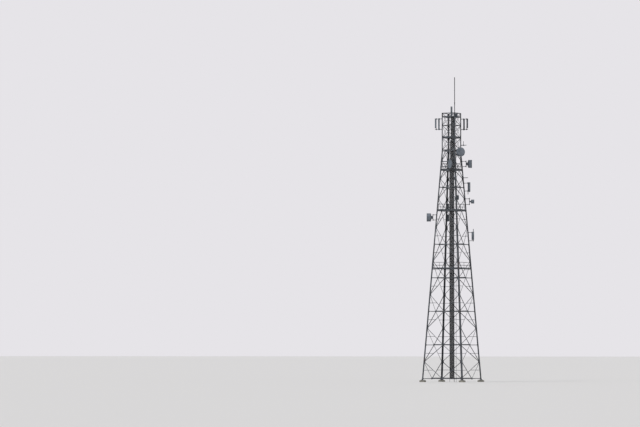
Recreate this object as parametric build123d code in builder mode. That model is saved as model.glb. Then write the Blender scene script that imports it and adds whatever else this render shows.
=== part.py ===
"""A four-legged lattice cell tower, made at half of its real size, in millimetres.

The legs lean in from the footings to a straight cage at the top. The frame's origin is the middle of the
underside of the front right footing, with X to the right along the front face, Y to the back and Z up."""
import os
from math import atan, atan2, cos, degrees, radians, sin

from build123d import *

os.makedirs("parts", exist_ok=True)

# Heights from the ground up
footing_height = 150
first_level = 290
tall_panel = 2800
tall_panels = 5
short_panels = [1965, 1420, 1665]
cage_panel = 1050
cage_panels = 3
waist_gap = 45

# Widths over the heels of the legs
base_side = 3760
cage_side = 1220

# Steel sections
leg_width = 125
upper_leg_width = 110
leg_wall = 10
cage_leg_width = 90
cage_leg_wall = 9
splice_level = 4
rail_flat = 6
horizontal_width = 50
horizontal_depth = 64
diagonal_width = 44
diagonal_depth = 36
sub_bar_width = 32
rib_wall = 6
cope = 105
gusset_margin = 27
leg_gusset = (150, 250)
middle_gusset = (230, 150)
end_gusset = (120, 120)
seat = 0.3

# Footings and base plates
footing_side = 420
footing_chamfer = 18
base_plate_side = 250
base_plate = 18
foot_rib = 10
foot_rib_reach = 60
foot_rib_height = 120
foot_rib_nose = 20

# Plan bracing
plan_bar_width = 40
plan_bar = 6
plan_drop = 14
plan_gap = 3

# Ladders and feeders, on the axis of the tower. Feeders end above the cage's foot and below its top
cable_ladder_x = 10
cable_ladder_width = 412
climb_ladder_x = 321
climb_ladder_width = 200
ladder_back = 25
cable_rail = (6, 50)
climb_rail = (8, 30)
rung = 12
cable_rung_pitch = 500
climb_rung_pitch = 150
ladder_foot = 40
bracket_bar = (36, 40)
feeder_radius = 14
feeder_pitch = 33
feeder_foot = 260
waist_feeder_rise = 790
high_feeder_drop = 340

# Platforms, the lower one above its level and the top one below the top of the steel
lower_platform_rise = 790
top_platform_drop = 340
platform_beam = (60, 40)
joist_width = 40
deck_plate = 10
deck_inset = 52
deck_joint = 3
lug_side = 62
well_left = -216
well_right = 441
well_front = -430
guard_height = 500
guard_bar = 20

# Lightning rod, with its heights above the top of the steel
rod_pipe_radius = 30
rod_pipe_rise = (-290, 780)
rod_block_rises = (-275, -200)
rod_block = (76, 40)
rod_radius = 20
rod_tip_rise = 2930

# Antenna mounts
pole_radius = 28
arm_side = 40
clamp_plate = (90, 120, 12)
cross_bar = (70, 34)

# Shapes that all antennas and boxes share
panel_corner = 14
panel_gap = 34
bracket_size = (60, 40)
bracket_shares = (0.14, 0.86)
hub_share = 0.34
hub_length = 90
bowl_depth_share = 0.2
bowl_bow = (0.083, 0.58)
rim_bevel = 8
box_corner = 12

# Drum antennas, with their heights above the eighth and the fifth level of the bracing
drum_arm_spacing = 430
drum_pole_length = 530
right_drum_rise = 550
right_drum_reach = 373
right_drum_radius = 335
right_drum_depth = 360
left_drum_rise = 2245
left_drum_reach = 315
left_drum_radius = 343
left_drum_depth = 390

# Panel antennas on the back right leg, with their heights above the seventh and the fifth level
high_panel_arms = (-295, 365)
high_panel_pole = (-580, 445)
high_panel_reach = 356
high_panel_size = (170, 120, 790)
high_panel_rise = -365
low_panel_arms = (310, 1000)
low_panel_pole = (250, 1290)
low_panel_reach = 440
low_panel_size = (210, 75, 660)
low_panel_rise = 390

# Small dish on the back right leg, above the sixth level
small_dish_arms = (550, 1020)
small_dish_pole = (500, 1095)
small_dish_reach = 371
small_dish_radius = 165
small_dish_depth = 270

# Dishes on bars across the right face, below the cage, and across the front face, above the eighth level
right_dish_arms = (-400, -70)
right_dish_pole = (-490, 300)
right_dish_along = -154
right_dish_reach = 95
right_dish_rise = -154
right_dish_radius = 360
right_dish_depth = 300
front_dish_arms = (285, 725)
front_dish_pole = (125, 885)
front_dish_along = 495
front_dish_reach = 195
front_dish_rise = 500
front_dish_radius = 390
front_dish_depth = 100

# Which way the round antennas look, in degrees from the front towards the right
look_right = 115.7
look_left = 295.7
right_dish_look = 61
front_dish_look = -40

# Side arms of the cage with their panel antennas, below the top of the steel
side_arm_drops = (1380, 505)
side_arm_length = 640
side_pole_reaches = (240, 540)
side_pole_overhang = 50
side_panel_size = (130, 60)
side_panel_foot_drops = (1420, 1260)
side_panel_top_drop = 470

# Arms that carry nothing, the high one with a short pole in a cross clamp above the foot of the cage
spare_arm_radius = 25
spare_arm_root = (76, 18)
cross_clamp = 76
high_spare_rise = 450
high_spare_length = 490
low_spare_rise = 815
low_spare_length = 420
spare_pole_radius = 20
spare_pole_reach = 230
spare_pole_rise = 390
spare_pole_length = 390

# Radio boxes, each with its height above a level, its reach off the leg, and its width, depth and height
deck_box = (-275, 40, (300, 120, 370))
front_box = (1072, 30, (170, 110, 376))
low_back_box = (2260, 30, (250, 140, 580))
high_back_box = (410, 30, (190, 110, 480))

# Antenna that stands on the top deck
mast_point = (-60, 230)
mast_rise = 500
mast_foot_side = 120
mast_panel_size = (150, 75, 820)
mast_panel_rise = -270

# Heights that follow from the sizes above
levels = [first_level + i * tall_panel for i in range(tall_panels + 1)]
for short_panel in short_panels[:-1]:
    levels.append(levels[-1] + short_panel)
cage_foot = levels[-1] + short_panels[-1]
cage_levels = [cage_foot + i * cage_panel for i in range(cage_panels + 1)]
steel_top = cage_levels[-1]
lower_platform = levels[3] + lower_platform_rise
top_platform = steel_top - top_platform_drop
batter = (base_side - cage_side) / 2 / cage_foot
lean = atan(batter)
axis_x = -(base_side - leg_width) / 2
axis_y = (base_side - leg_width) / 2
corners = {"front_right": 0, "back_right": 90, "back_left": 180, "front_left": 270}
faces = {"front": 0, "right": 90, "back": 180, "left": 270}
flat_inset = leg_wall * cos(lean) + seat
cage_flat_inset = cage_leg_wall + seat


def half(z):
    """Half of the width over the heels of the legs at a height."""
    return base_side / 2 - batter * min(z, cage_foot)


def level_plane(z, turn=0):
    """A level plane with its origin on the tower's axis, turned about it."""
    a = radians(turn)
    return Plane((axis_x, axis_y, z), x_dir=(cos(a), sin(a), 0), z_dir=(0, 0, 1))


def leaning_plane(turn, inset=0):
    """The outer plane of a leaning face, with x along the face and y up it, moved in by the inset."""
    a = radians(turn)
    foot = Vector(axis_x + sin(a) * base_side / 2, axis_y - cos(a) * base_side / 2, 0)
    outward = (sin(a) * cos(lean), -cos(a) * cos(lean), sin(lean))
    return Plane(foot, x_dir=(cos(a), sin(a), 0), z_dir=outward).offset(-inset)


def upright_plane(turn, distance):
    """An upright plane at a distance from the axis, with x along it and y up."""
    a = radians(turn)
    foot = Vector(axis_x + sin(a) * distance, axis_y - cos(a) * distance, 0)
    return Plane(foot, x_dir=(cos(a), sin(a), 0), z_dir=(sin(a), -cos(a), 0))


def up_face(z):
    """The distance up a leaning face at a height."""
    return z / cos(lean)


def strut(start, end, width):
    """A straight bar between two points of the sketch that is open."""
    run = Vector(*end) - Vector(*start)
    with Locations((Vector(*start) + Vector(*end)) / 2):
        Rectangle(run.length, width, rotation=degrees(atan2(run.Y, run.X)))


def rib(start, end, width, edge):
    """A bar's outstanding flange seen end on, on its upper (1) or lower (-1) edge, cut back at both ends."""
    run = Vector(*end) - Vector(*start)
    along = run.normalized()
    aside = Vector(-along.Y, along.X) * (width - rib_wall) / 2
    if aside.Y * edge < 0:
        aside = -aside
    first = Vector(*start) + along * cope + aside
    last = Vector(*end) - along * cope + aside
    strut((first.X, first.Y), (last.X, last.Y), rib_wall)


def gauge(z):
    """Where the bracing meets a leg, from the middle of a face."""
    return half(z) - leg_width / 2


def write(piece, name):
    """Labels a finished piece and writes its file."""
    piece.part.label = name
    export_step(piece.part, f"parts/{name}.step")


def write_on_each_face(piece, name):
    """Writes the front face's bracing and the same turned on to the other three faces."""
    tower_axis = Axis((axis_x, axis_y, 0), (0, 0, 1))
    for place, turn in faces.items():
        copy = piece.part.rotate(tower_axis, turn)
        copy.label = f"{name}_{place}"
        export_step(copy, f"parts/{name}_{place}.step")


# Footings, one under each leg
with BuildPart() as footings:
    for turn in corners.values():
        with BuildSketch(level_plane(0, turn)):
            with Locations((-axis_x, -axis_y)):
                Rectangle(footing_side, footing_side)
    extrude(amount=footing_height)
    chamfer(footings.faces().filter_by(Axis.Z).group_by(Axis.Z)[-1].edges(), footing_chamfer)
write(footings, "footings")

# Base plates, each with an upright rib against both flanges of its leg
plate_top = footing_height + base_plate
rib_top = plate_top + foot_rib_height
with BuildPart() as base_plates:
    for turn in corners.values():
        with BuildSketch(level_plane(footing_height, turn)):
            with Locations((-axis_x, -axis_y)):
                Rectangle(base_plate_side, base_plate_side)
    extrude(amount=base_plate)
    for turn in corners.values():
        for rib_turn, hand in ((turn, 1), (turn + 90, -1)):
            with BuildSketch(upright_plane(rib_turn, gauge(plate_top) + foot_rib / 2)):
                with BuildLine():
                    Polyline(
                        (hand * (half(plate_top) + seat), footing_height),
                        (hand * (half(plate_top) + foot_rib_reach), footing_height),
                        (hand * (half(plate_top) + foot_rib_reach), plate_top + foot_rib_nose),
                        (hand * (half(rib_top) + foot_rib_nose), rib_top),
                        (hand * (half(rib_top) + seat), rib_top),
                        (hand * (half(plate_top) + seat), plate_top),
                        close=True,
                    )
                make_face()
            extrude(amount=-foot_rib)
write(base_plates, "base_plates")


def angle_leg(turn, bottom, top, width, wall):
    """One length of an angle-iron leg, its heel on the corner of the tower and its ends level."""
    heel = half(bottom)
    inner = heel - wall
    tip = heel - width
    shift = half(bottom) - half(top)
    slant = Vector(-shift, shift, top - bottom).rotate(Axis.Z, turn)
    with BuildPart() as length_of_leg:
        with BuildSketch(level_plane(bottom, turn)):
            with BuildLine():
                Polyline(
                    (heel, -heel),
                    (heel, -tip),
                    (inner, -tip),
                    (inner, -inner),
                    (tip, -inner),
                    (tip, -heel),
                    close=True,
                )
            make_face()
        extrude(amount=slant.length, dir=slant.normalized())
    return length_of_leg


# Legs, in three lengths with butt joints
leg_lengths = {
    "lower": (footing_height + base_plate + seat, levels[splice_level], leg_width, leg_wall),
    "upper": (levels[splice_level] + seat, cage_foot, upper_leg_width, leg_wall),
    "cage": (cage_foot + seat, steel_top, cage_leg_width, cage_leg_wall),
}
for place, turn in corners.items():
    for length, (bottom, top, width, wall) in leg_lengths.items():
        write(angle_leg(turn, bottom, top, width, wall), f"leg_{length}_{place}")

# The bracing of one leaning face, drawn flat: diamonds from the middle of each horizontal to the legs
waist = cage_foot - waist_gap
with BuildSketch() as face_flats:
    for bottom, top in zip(levels, levels[1:] + [waist]):
        middle = (bottom + top) / 2
        strut((-gauge(bottom), up_face(bottom)), (gauge(bottom), up_face(bottom)), horizontal_width)
        with Locations((0, up_face(bottom))):
            Rectangle(*middle_gusset)
        for hand in (-1, 1):
            leg_point = (hand * gauge(middle), up_face(middle))
            strut((0, up_face(bottom)), leg_point, diagonal_width)
            strut((0, up_face(top)), leg_point, diagonal_width)
            with Locations((hand * (half(middle) - gusset_margin - leg_gusset[0] / 2), up_face(middle))):
                Rectangle(*leg_gusset)
            with Locations((hand * (half(bottom) - gusset_margin - end_gusset[0] / 2), up_face(bottom))):
                Rectangle(*end_gusset)
            if top - bottom == tall_panel:
                for quarter in ((bottom + middle) / 2, (middle + top) / 2):
                    strut(
                        (hand * gauge(middle) / 2, up_face(quarter)),
                        (hand * gauge(quarter), up_face(quarter)),
                        sub_bar_width,
                    )
    strut((-gauge(waist), up_face(waist)), (gauge(waist), up_face(waist)), horizontal_width)
with BuildSketch() as face_horizontal_ribs:
    for level in levels + [waist]:
        rib((-gauge(level), up_face(level)), (gauge(level), up_face(level)), horizontal_width, 1)
with BuildSketch() as face_diagonal_ribs:
    for bottom, top in zip(levels, levels[1:] + [waist]):
        middle = (bottom + top) / 2
        for hand in (-1, 1):
            leg_point = (hand * gauge(middle), up_face(middle))
            rib((0, up_face(bottom)), leg_point, diagonal_width, -1)
            rib((0, up_face(top)), leg_point, diagonal_width, -1)
with BuildPart() as bracing:
    with BuildSketch(leaning_plane(0, flat_inset)):
        add(face_flats.sketch_local)
    extrude(amount=-rail_flat)
    with BuildSketch(leaning_plane(0, flat_inset)):
        add(face_horizontal_ribs.sketch_local)
    extrude(amount=-horizontal_depth)
    with BuildSketch(leaning_plane(0, flat_inset)):
        add(face_diagonal_ribs.sketch_local)
    extrude(amount=-diagonal_depth)
write_on_each_face(bracing, "bracing")

# The bracing of one side of the cage, with a cross in each panel
cage_gauge = cage_side / 2 - cage_leg_width / 2
cage_low = cage_foot + waist_gap
cage_bars = [cage_low] + cage_levels[1:-1] + [steel_top - horizontal_width / 2]
with BuildSketch() as cage_flats:
    for level in cage_bars:
        strut((-cage_gauge, level), (cage_gauge, level), horizontal_width)
    for bottom, top in zip(cage_bars, cage_bars[1:]):
        for hand in (-1, 1):
            strut((-hand * cage_gauge, bottom), (hand * cage_gauge, top), diagonal_width)
with BuildSketch() as cage_ribs:
    for level in cage_bars:
        rib((-cage_gauge, level), (cage_gauge, level), horizontal_width, 1)
with BuildPart() as cage_bracing:
    with BuildSketch(upright_plane(0, cage_side / 2 - cage_flat_inset)):
        add(cage_flats.sketch_local)
    extrude(amount=-rail_flat)
    with BuildSketch(upright_plane(0, cage_side / 2 - cage_flat_inset)):
        add(cage_ribs.sketch_local)
    extrude(amount=-horizontal_depth)
write_on_each_face(cage_bracing, "cage_bracing")

# Plan bracing, a diamond of flats inside the tower at each level
with BuildPart() as plan_bracing:
    for level in levels[1:]:
        reach = half(level - plan_drop + plan_bar) - (flat_inset + rail_flat) / cos(lean) - seat
        with BuildSketch(level_plane(level - plan_drop)):
            strut((0, -reach), (reach, 0), plan_bar_width)
            strut((reach, 0), (0, reach), plan_bar_width)
            strut((0, reach), (-reach, 0), plan_bar_width)
            strut((-reach, 0), (0, -reach), plan_bar_width)
            Rectangle(2 * reach, 2 * reach, mode=Mode.INTERSECT)
            Rectangle(plan_gap, 2 * reach, mode=Mode.SUBTRACT)
            Rectangle(2 * reach, plan_gap, mode=Mode.SUBTRACT)
    extrude(amount=plan_bar)
write(plan_bracing, "plan_bracing")

# Where the floors of the platforms' frames lie
on_ribs = horizontal_width / 2 + seat
platforms = {
    "lower": lower_platform,
    "middle": levels[5] + on_ribs + platform_beam[1],
    "upper": levels[7] + on_ribs + platform_beam[1],
    "cage": cage_levels[1] + on_ribs + platform_beam[1],
    "top": top_platform,
}


def deck_reach(floor):
    """Half of the width of a platform whose beams end at a floor."""
    return half(floor + deck_plate) - deck_inset


well_back = ladder_back + seat
well_size = (well_right - well_left, well_back - well_front)
well_middle = ((well_left + well_right) / 2, (well_back + well_front) / 2)

# Platform frames: a ring of beams, joists beside the ladders' well, and lugs where no horizontal carries it
with BuildPart() as platform_frames:
    for name, floor in platforms.items():
        reach = deck_reach(floor)
        with BuildSketch(level_plane(floor - platform_beam[1])):
            Rectangle(2 * reach, 2 * reach)
            Rectangle(2 * (reach - platform_beam[0]), 2 * (reach - platform_beam[0]), mode=Mode.SUBTRACT)
            for x in (well_left - joist_width / 2, well_right + joist_width / 2):
                strut((x, -reach), (x, reach), joist_width)
            strut((-reach, well_back + joist_width / 2), (reach, well_back + joist_width / 2), joist_width)
            if name in ("lower", "top"):
                wall = leg_wall if name == "lower" else cage_leg_wall
                lug = half(floor) - wall - seat - lug_side / 2
                with GridLocations(2 * lug, 2 * lug, 2, 2):
                    Rectangle(lug_side, lug_side)
    extrude(amount=platform_beam[1])
write(platform_frames, "platform_frames")

# Decks, each laid from four plates round the well for the ladders and the climber
for name, floor in platforms.items():
    reach = deck_reach(floor)
    with BuildPart() as deck:
        with BuildSketch(level_plane(floor + seat)):
            Rectangle(2 * reach, 2 * reach)
            with Locations(well_middle):
                Rectangle(*well_size, mode=Mode.SUBTRACT)
            for joint in (well_left, well_right):
                with Locations((joint, 0)):
                    Rectangle(deck_joint, 2 * reach, mode=Mode.SUBTRACT)
        extrude(amount=deck_plate)
    write(deck, f"deck_{name}")

# Guard rails of the three large platforms, four panels each, standing on their decks
with BuildPart() as guard_rails:
    for name in ("lower", "middle", "upper"):
        floor = platforms[name] + deck_plate + 2 * seat
        reach = half(floor + guard_height) - deck_inset - guard_bar
        first = -reach
        last = reach - guard_bar - plan_gap
        for turn in faces.values():
            with BuildSketch(upright_plane(turn, reach)):
                for height in (guard_height / 2, guard_height - guard_bar / 2):
                    strut((first, floor + height), (last, floor + height), guard_bar)
                for x in (first + guard_bar / 2, (first + last) / 2, last - guard_bar / 2):
                    strut((x, floor), (x, floor + guard_height), guard_bar)
            extrude(amount=-guard_bar)
write(guard_rails, "guard_rails")


def ladder(middle, width, rail, pitch):
    """A straight ladder with its back on a plane, its feet on the ground and square rungs."""
    rail_middle = ladder_back - rail[1] / 2
    with BuildPart() as rails_and_rungs:
        with BuildSketch(level_plane(0)):
            with Locations((middle, rail_middle)):
                with GridLocations(width - rail[0], 1, 2, 1):
                    Rectangle(*rail)
        extrude(amount=steel_top)
        count = int((steel_top - ladder_foot) / pitch)
        with BuildSketch(upright_plane(0, rung / 2 - rail_middle)):
            with Locations((middle, ladder_foot + pitch * (count + 1) / 2)):
                with GridLocations(1, pitch, 1, count):
                    Rectangle(width - rail[0], rung)
        extrude(amount=-rung)
    return rails_and_rungs


# The cable ladder and the climbing ladder, side by side
write(ladder(cable_ladder_x, cable_ladder_width, cable_rail, cable_rung_pitch), "cable_ladder")
write(ladder(climb_ladder_x, climb_ladder_width, climb_rail, climb_rung_pitch), "climbing_ladder")

# Cross bars behind the ladders, on the horizontals that carry no platform
with BuildPart() as ladder_brackets:
    for level in levels[:5] + levels[6:7]:
        reach = half(level + on_ribs + bracket_bar[1]) - flat_inset - rail_flat - seat
        with BuildSketch(level_plane(level + on_ribs)):
            with Locations((0, well_back + bracket_bar[0] / 2)):
                Rectangle(2 * reach, bracket_bar[0])
        extrude(amount=bracket_bar[1])
write(ladder_brackets, "ladder_brackets")

# Feeder cables, side by side on the rungs of the cable ladder, up to where each leaves it
waist_feeders = cage_foot + waist_feeder_rise
high_feeders = steel_top - high_feeder_drop
feeder_tops = [levels[6], levels[7]] + [waist_feeders] * 2 + [high_feeders] * 8
feeder_y = ladder_back - cable_rail[1] / 2 - rung / 2 - seat - feeder_radius
with BuildPart() as feeder_cables:
    for i, feeder_top in enumerate(feeder_tops):
        with BuildSketch(level_plane(feeder_foot)):
            with Locations((cable_ladder_x + (i - (len(feeder_tops) - 1) / 2) * feeder_pitch, feeder_y)):
                Circle(feeder_radius)
        extrude(amount=feeder_top - feeder_foot)
write(feeder_cables, "feeder_cables")

# Lightning rod, on two blocks in the corner of the front right leg
rod_corner = cage_side / 2 - cage_flat_inset - rail_flat - seat - rod_pipe_radius
block_corner = cage_side / 2 - cage_leg_wall - seat - rod_block[0] / 2
with BuildPart() as lightning_rod:
    for rise in rod_block_rises:
        with BuildSketch(level_plane(steel_top + rise)):
            with Locations((block_corner, -block_corner)):
                Rectangle(rod_block[0], rod_block[0])
        extrude(amount=rod_block[1])
    with BuildSketch(level_plane(steel_top + rod_pipe_rise[0])):
        with Locations((rod_corner, -rod_corner)):
            Circle(rod_pipe_radius)
    extrude(amount=rod_pipe_rise[1] - rod_pipe_rise[0])
    with BuildSketch(level_plane(steel_top + rod_pipe_rise[1])):
        with Locations((rod_corner, -rod_corner)):
            Circle(rod_radius)
    extrude(amount=rod_tip_rise - rod_pipe_rise[1])
write(lightning_rod, "lightning_rod")


def pole_point(turn, z, along, reach):
    """The plan point, from the tower's axis, of a pole that stands off a face at a height."""
    a = radians(turn)
    distance = half(z) + reach
    return (along * cos(a) + distance * sin(a), along * sin(a) - distance * cos(a))


def pole_plane(point, z, facing):
    """A level plane with its origin in a pole, and the way that its antenna looks along minus Y."""
    a = radians(facing)
    return Plane((axis_x + point[0], axis_y + point[1], z), x_dir=(cos(a), sin(a), 0), z_dir=(0, 0, 1))


def pole_mount(turn, heights, along, reach, pole_ends, across=0):
    """An upright pole on two arms, from plates on a leg or, with across, from bars across the face."""
    middle = sum(heights) / 2
    with BuildPart() as mount:
        for z in heights:
            leaning = z < cage_foot
            face = leaning_plane(turn, -seat) if leaning else upright_plane(turn, half(z) + seat)
            rise = up_face(z) if leaning else z
            with BuildSketch(face):
                if across:
                    with Locations((0, rise)):
                        Rectangle(2 * half(z), across)
                else:
                    with Locations((along, rise)):
                        Rectangle(clamp_plate[0], clamp_plate[1])
            extrude(amount=cross_bar[1] if across else clamp_plate[2])
            with BuildSketch(upright_plane(turn, half(z) + clamp_plate[2] / 2)):
                with Locations((along, z)):
                    Rectangle(arm_side, arm_side)
            extrude(amount=half(middle) + reach - half(z) - clamp_plate[2] / 2)
        with BuildSketch(level_plane(pole_ends[0], turn)):
            with Locations((along, -(half(middle) + reach))):
                Circle(pole_radius)
        extrude(amount=pole_ends[1] - pole_ends[0])
    return mount


def panel_antenna(point, facing, foot, size):
    """A flat antenna on two brackets that reach back to its pole."""
    width, depth, height = size
    back = pole_radius + panel_gap
    with BuildPart() as antenna:
        with BuildSketch(pole_plane(point, foot, facing)):
            with Locations((0, -back - depth / 2)):
                RectangleRounded(width, depth, panel_corner)
        extrude(amount=height)
        for share in bracket_shares:
            with BuildSketch(pole_plane(point, foot + share * height - bracket_size[1] / 2, facing)):
                with Locations((0, -(pole_radius + seat + back + panel_corner) / 2)):
                    Rectangle(bracket_size[0], back + panel_corner - pole_radius - seat)
            extrude(amount=bracket_size[1])
    return antenna


def round_antenna(point, facing, z, radius, depth):
    """A dish with a back of two cones, a shroud and a flat radome, turned about its line of sight."""
    a = radians(facing)
    start = Vector(axis_x + point[0], axis_y + point[1], z)
    look = Vector(sin(a), -cos(a), 0)
    hub = pole_radius + seat
    hub_radius = radius * hub_share
    rim = hub + hub_length + radius * bowl_depth_share
    front = hub + hub_length + depth
    bow_x = hub + hub_length + radius * bowl_bow[0]
    bow_y = hub_radius + (radius - hub_radius) * bowl_bow[1]
    with BuildPart() as antenna:
        with BuildSketch(Plane(start, x_dir=look, z_dir=Vector(-look.Y, look.X, 0))):
            with BuildLine():
                Polyline(
                    (hub, 0),
                    (hub, hub_radius),
                    (hub + hub_length, hub_radius),
                    (bow_x, bow_y),
                    (rim, radius),
                    (front, radius),
                    (front + rim_bevel, radius - rim_bevel),
                    (front + rim_bevel, 0),
                    close=True,
                )
            make_face()
        revolve(axis=Axis(start, look))
    return antenna


def radio_box(turn, hand, level, values):
    """A box on a short arm from the flange of a leg, on the right (1) or left (-1) of a face."""
    rise, reach, (width, depth, height) = values
    z = level + rise
    leaning = z < cage_foot
    along = hand * (gauge(z) if leaning else cage_gauge)
    back = half(z - height / 2) + reach
    with BuildPart() as box:
        with BuildSketch(leaning_plane(turn, -seat) if leaning else upright_plane(turn, half(z) + seat)):
            with Locations((along, up_face(z) if leaning else z)):
                Rectangle(clamp_plate[0], clamp_plate[1])
        extrude(amount=clamp_plate[2])
        with BuildSketch(upright_plane(turn, half(z) + clamp_plate[2] / 2)):
            with Locations((along, z)):
                Rectangle(*bracket_size)
        extrude(amount=back - half(z))
        with BuildSketch(level_plane(z - height / 2, turn)):
            with Locations((along, -back - depth / 2)):
                RectangleRounded(width, depth, box_corner)
        extrude(amount=height)
    return box


# Drum antennas, each on two square arms from its leg
right_drum_z = levels[7] + right_drum_rise
left_drum_z = levels[4] + left_drum_rise
drums = {
    "right": (90, right_drum_z, right_drum_reach, right_drum_radius, right_drum_depth, look_right),
    "left": (270, left_drum_z, left_drum_reach, left_drum_radius, left_drum_depth, look_left),
}
for side, (turn, z, reach, radius, depth, look) in drums.items():
    arms = (z - drum_arm_spacing / 2, z + drum_arm_spacing / 2)
    pole_ends = (z - drum_pole_length / 2, z + drum_pole_length / 2)
    write(pole_mount(turn, arms, gauge(z), reach, pole_ends), f"drum_mount_{side}")
    write(round_antenna(pole_point(turn, z, gauge(z), reach), look, z, radius, depth), f"drum_{side}")


def above(level, rises):
    """Two heights above a level of the tower."""
    return (level + rises[0], level + rises[1])


# Panel antennas on the back right leg
high_panel_heights = above(levels[6], high_panel_arms)
high_panel_z = sum(high_panel_heights) / 2
high_panel_along = gauge(high_panel_z)
high_panel_ends = above(levels[6], high_panel_pole)
high_panel_point = pole_point(90, high_panel_z, high_panel_along, high_panel_reach)
high_panel_mount = pole_mount(90, high_panel_heights, high_panel_along, high_panel_reach, high_panel_ends)
write(high_panel_mount, "panel_mount_right")
write(panel_antenna(high_panel_point, 90, levels[6] + high_panel_rise, high_panel_size), "panel_right")
low_panel_heights = above(levels[4], low_panel_arms)
low_panel_z = sum(low_panel_heights) / 2
low_panel_along = gauge(low_panel_z)
low_panel_ends = above(levels[4], low_panel_pole)
low_panel_point = pole_point(90, low_panel_z, low_panel_along, low_panel_reach)
write(pole_mount(90, low_panel_heights, low_panel_along, low_panel_reach, low_panel_ends), "low_panel_mount")
write(panel_antenna(low_panel_point, 0, levels[4] + low_panel_rise, low_panel_size), "low_panel")

# Small dish on the back right leg
small_dish_heights = above(levels[5], small_dish_arms)
small_dish_z = sum(small_dish_heights) / 2
small_dish_along = gauge(small_dish_z)
small_dish_ends = above(levels[5], small_dish_pole)
small_dish_point = pole_point(90, small_dish_z, small_dish_along, small_dish_reach)
small_dish_mount = pole_mount(90, small_dish_heights, small_dish_along, small_dish_reach, small_dish_ends)
write(small_dish_mount, "small_dish_mount")
small_dish = round_antenna(small_dish_point, look_right, small_dish_z, small_dish_radius, small_dish_depth)
write(small_dish, "small_dish")

# The dish on the right face and the one on the front face, each on bars from leg to leg
right_heights = above(cage_foot, right_dish_arms)
right_ends = above(cage_foot, right_dish_pole)
right_point = pole_point(90, sum(right_heights) / 2, right_dish_along, right_dish_reach)
right_dish_z = cage_foot + right_dish_rise
write(
    pole_mount(90, right_heights, right_dish_along, right_dish_reach, right_ends, cross_bar[0]),
    "dish_mount_right",
)
right_dish = round_antenna(right_point, right_dish_look, right_dish_z, right_dish_radius, right_dish_depth)
write(right_dish, "dish_right")
front_heights = above(levels[7], front_dish_arms)
front_ends = above(levels[7], front_dish_pole)
front_point = pole_point(0, sum(front_heights) / 2, front_dish_along, front_dish_reach)
front_dish_z = levels[7] + front_dish_rise
write(
    pole_mount(0, front_heights, front_dish_along, front_dish_reach, front_ends, cross_bar[0]),
    "dish_mount_front",
)
front_dish = round_antenna(front_point, front_dish_look, front_dish_z, front_dish_radius, front_dish_depth)
write(front_dish, "dish_front")

# Side arms of the cage with two panels each, on opposite legs
side_arm_heights = [steel_top - drop for drop in side_arm_drops]
side_pole_foot = side_arm_heights[0] - side_pole_overhang
side_pole_length = side_arm_heights[1] - side_arm_heights[0] + 2 * side_pole_overhang
for side in ("right", "left"):
    turn = faces[side]
    with BuildPart() as side_arm:
        for z in side_arm_heights:
            with BuildSketch(upright_plane(turn, cage_side / 2 + seat)):
                with Locations((cage_gauge, z)):
                    Rectangle(clamp_plate[0], clamp_plate[1])
            extrude(amount=clamp_plate[2])
            with BuildSketch(upright_plane(turn, cage_side / 2 + clamp_plate[2] / 2)):
                with Locations((cage_gauge, z)):
                    Rectangle(arm_side, arm_side)
            extrude(amount=side_arm_length)
        for reach in side_pole_reaches:
            with BuildSketch(level_plane(side_pole_foot, turn)):
                with Locations((cage_gauge, -(cage_side / 2 + reach))):
                    Circle(pole_radius)
            extrude(amount=side_pole_length)
    write(side_arm, f"side_arm_{side}")
    with BuildPart() as side_panels:
        for reach, drop in zip(side_pole_reaches, side_panel_foot_drops):
            point = pole_point(turn, steel_top, cage_gauge, reach)
            size = (*side_panel_size, drop - side_panel_top_drop)
            add(panel_antenna(point, turn + 90, steel_top - drop, size).part)
    write(side_panels, f"side_panels_{side}")

# Two arms on the back right leg that carry nothing, the high one with a short pole
high_spare_z = cage_foot + high_spare_rise
low_spare_z = levels[6] + low_spare_rise
with BuildPart() as spare_arms:
    with BuildSketch(upright_plane(90, cage_side / 2 + seat)):
        with Locations((cage_gauge, high_spare_z)):
            Rectangle(clamp_plate[0], clamp_plate[1])
    extrude(amount=clamp_plate[2])
    with BuildSketch(upright_plane(90, cage_side / 2 + clamp_plate[2] / 2)):
        with Locations((cage_gauge, high_spare_z)):
            Circle(spare_arm_radius)
    extrude(amount=high_spare_length)
    with BuildSketch(upright_plane(90, cage_side / 2 + spare_pole_reach - cross_clamp / 2)):
        with Locations((cage_gauge, high_spare_z)):
            Rectangle(cross_clamp, cross_clamp)
    extrude(amount=cross_clamp)
    with BuildSketch(level_plane(cage_foot + spare_pole_rise, 90)):
        with Locations((cage_gauge, -(cage_side / 2 + spare_pole_reach))):
            Circle(spare_pole_radius)
    extrude(amount=spare_pole_length)
    with BuildSketch(leaning_plane(90, -seat)):
        with Locations((gauge(low_spare_z), up_face(low_spare_z))):
            Rectangle(clamp_plate[0], clamp_plate[1])
    extrude(amount=clamp_plate[2])
    with BuildSketch(upright_plane(90, half(low_spare_z) + clamp_plate[2] / 2)):
        with Locations((gauge(low_spare_z), low_spare_z)):
            Circle(spare_arm_radius)
    extrude(amount=low_spare_length)
    with BuildSketch(upright_plane(90, half(low_spare_z) + clamp_plate[2] / 2)):
        with Locations((gauge(low_spare_z), low_spare_z)):
            Rectangle(spare_arm_root[0], spare_arm_root[0])
    extrude(amount=spare_arm_root[1])
write(spare_arms, "spare_arms")

# Radio boxes on the legs
with BuildPart() as radio_boxes:
    add(radio_box(90, -1, steel_top, deck_box).part)
    add(radio_box(90, -1, levels[5], front_box).part)
    add(radio_box(180, 1, levels[4], low_back_box).part)
    add(radio_box(180, 1, levels[5], high_back_box).part)
write(radio_boxes, "radio_boxes")

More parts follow.
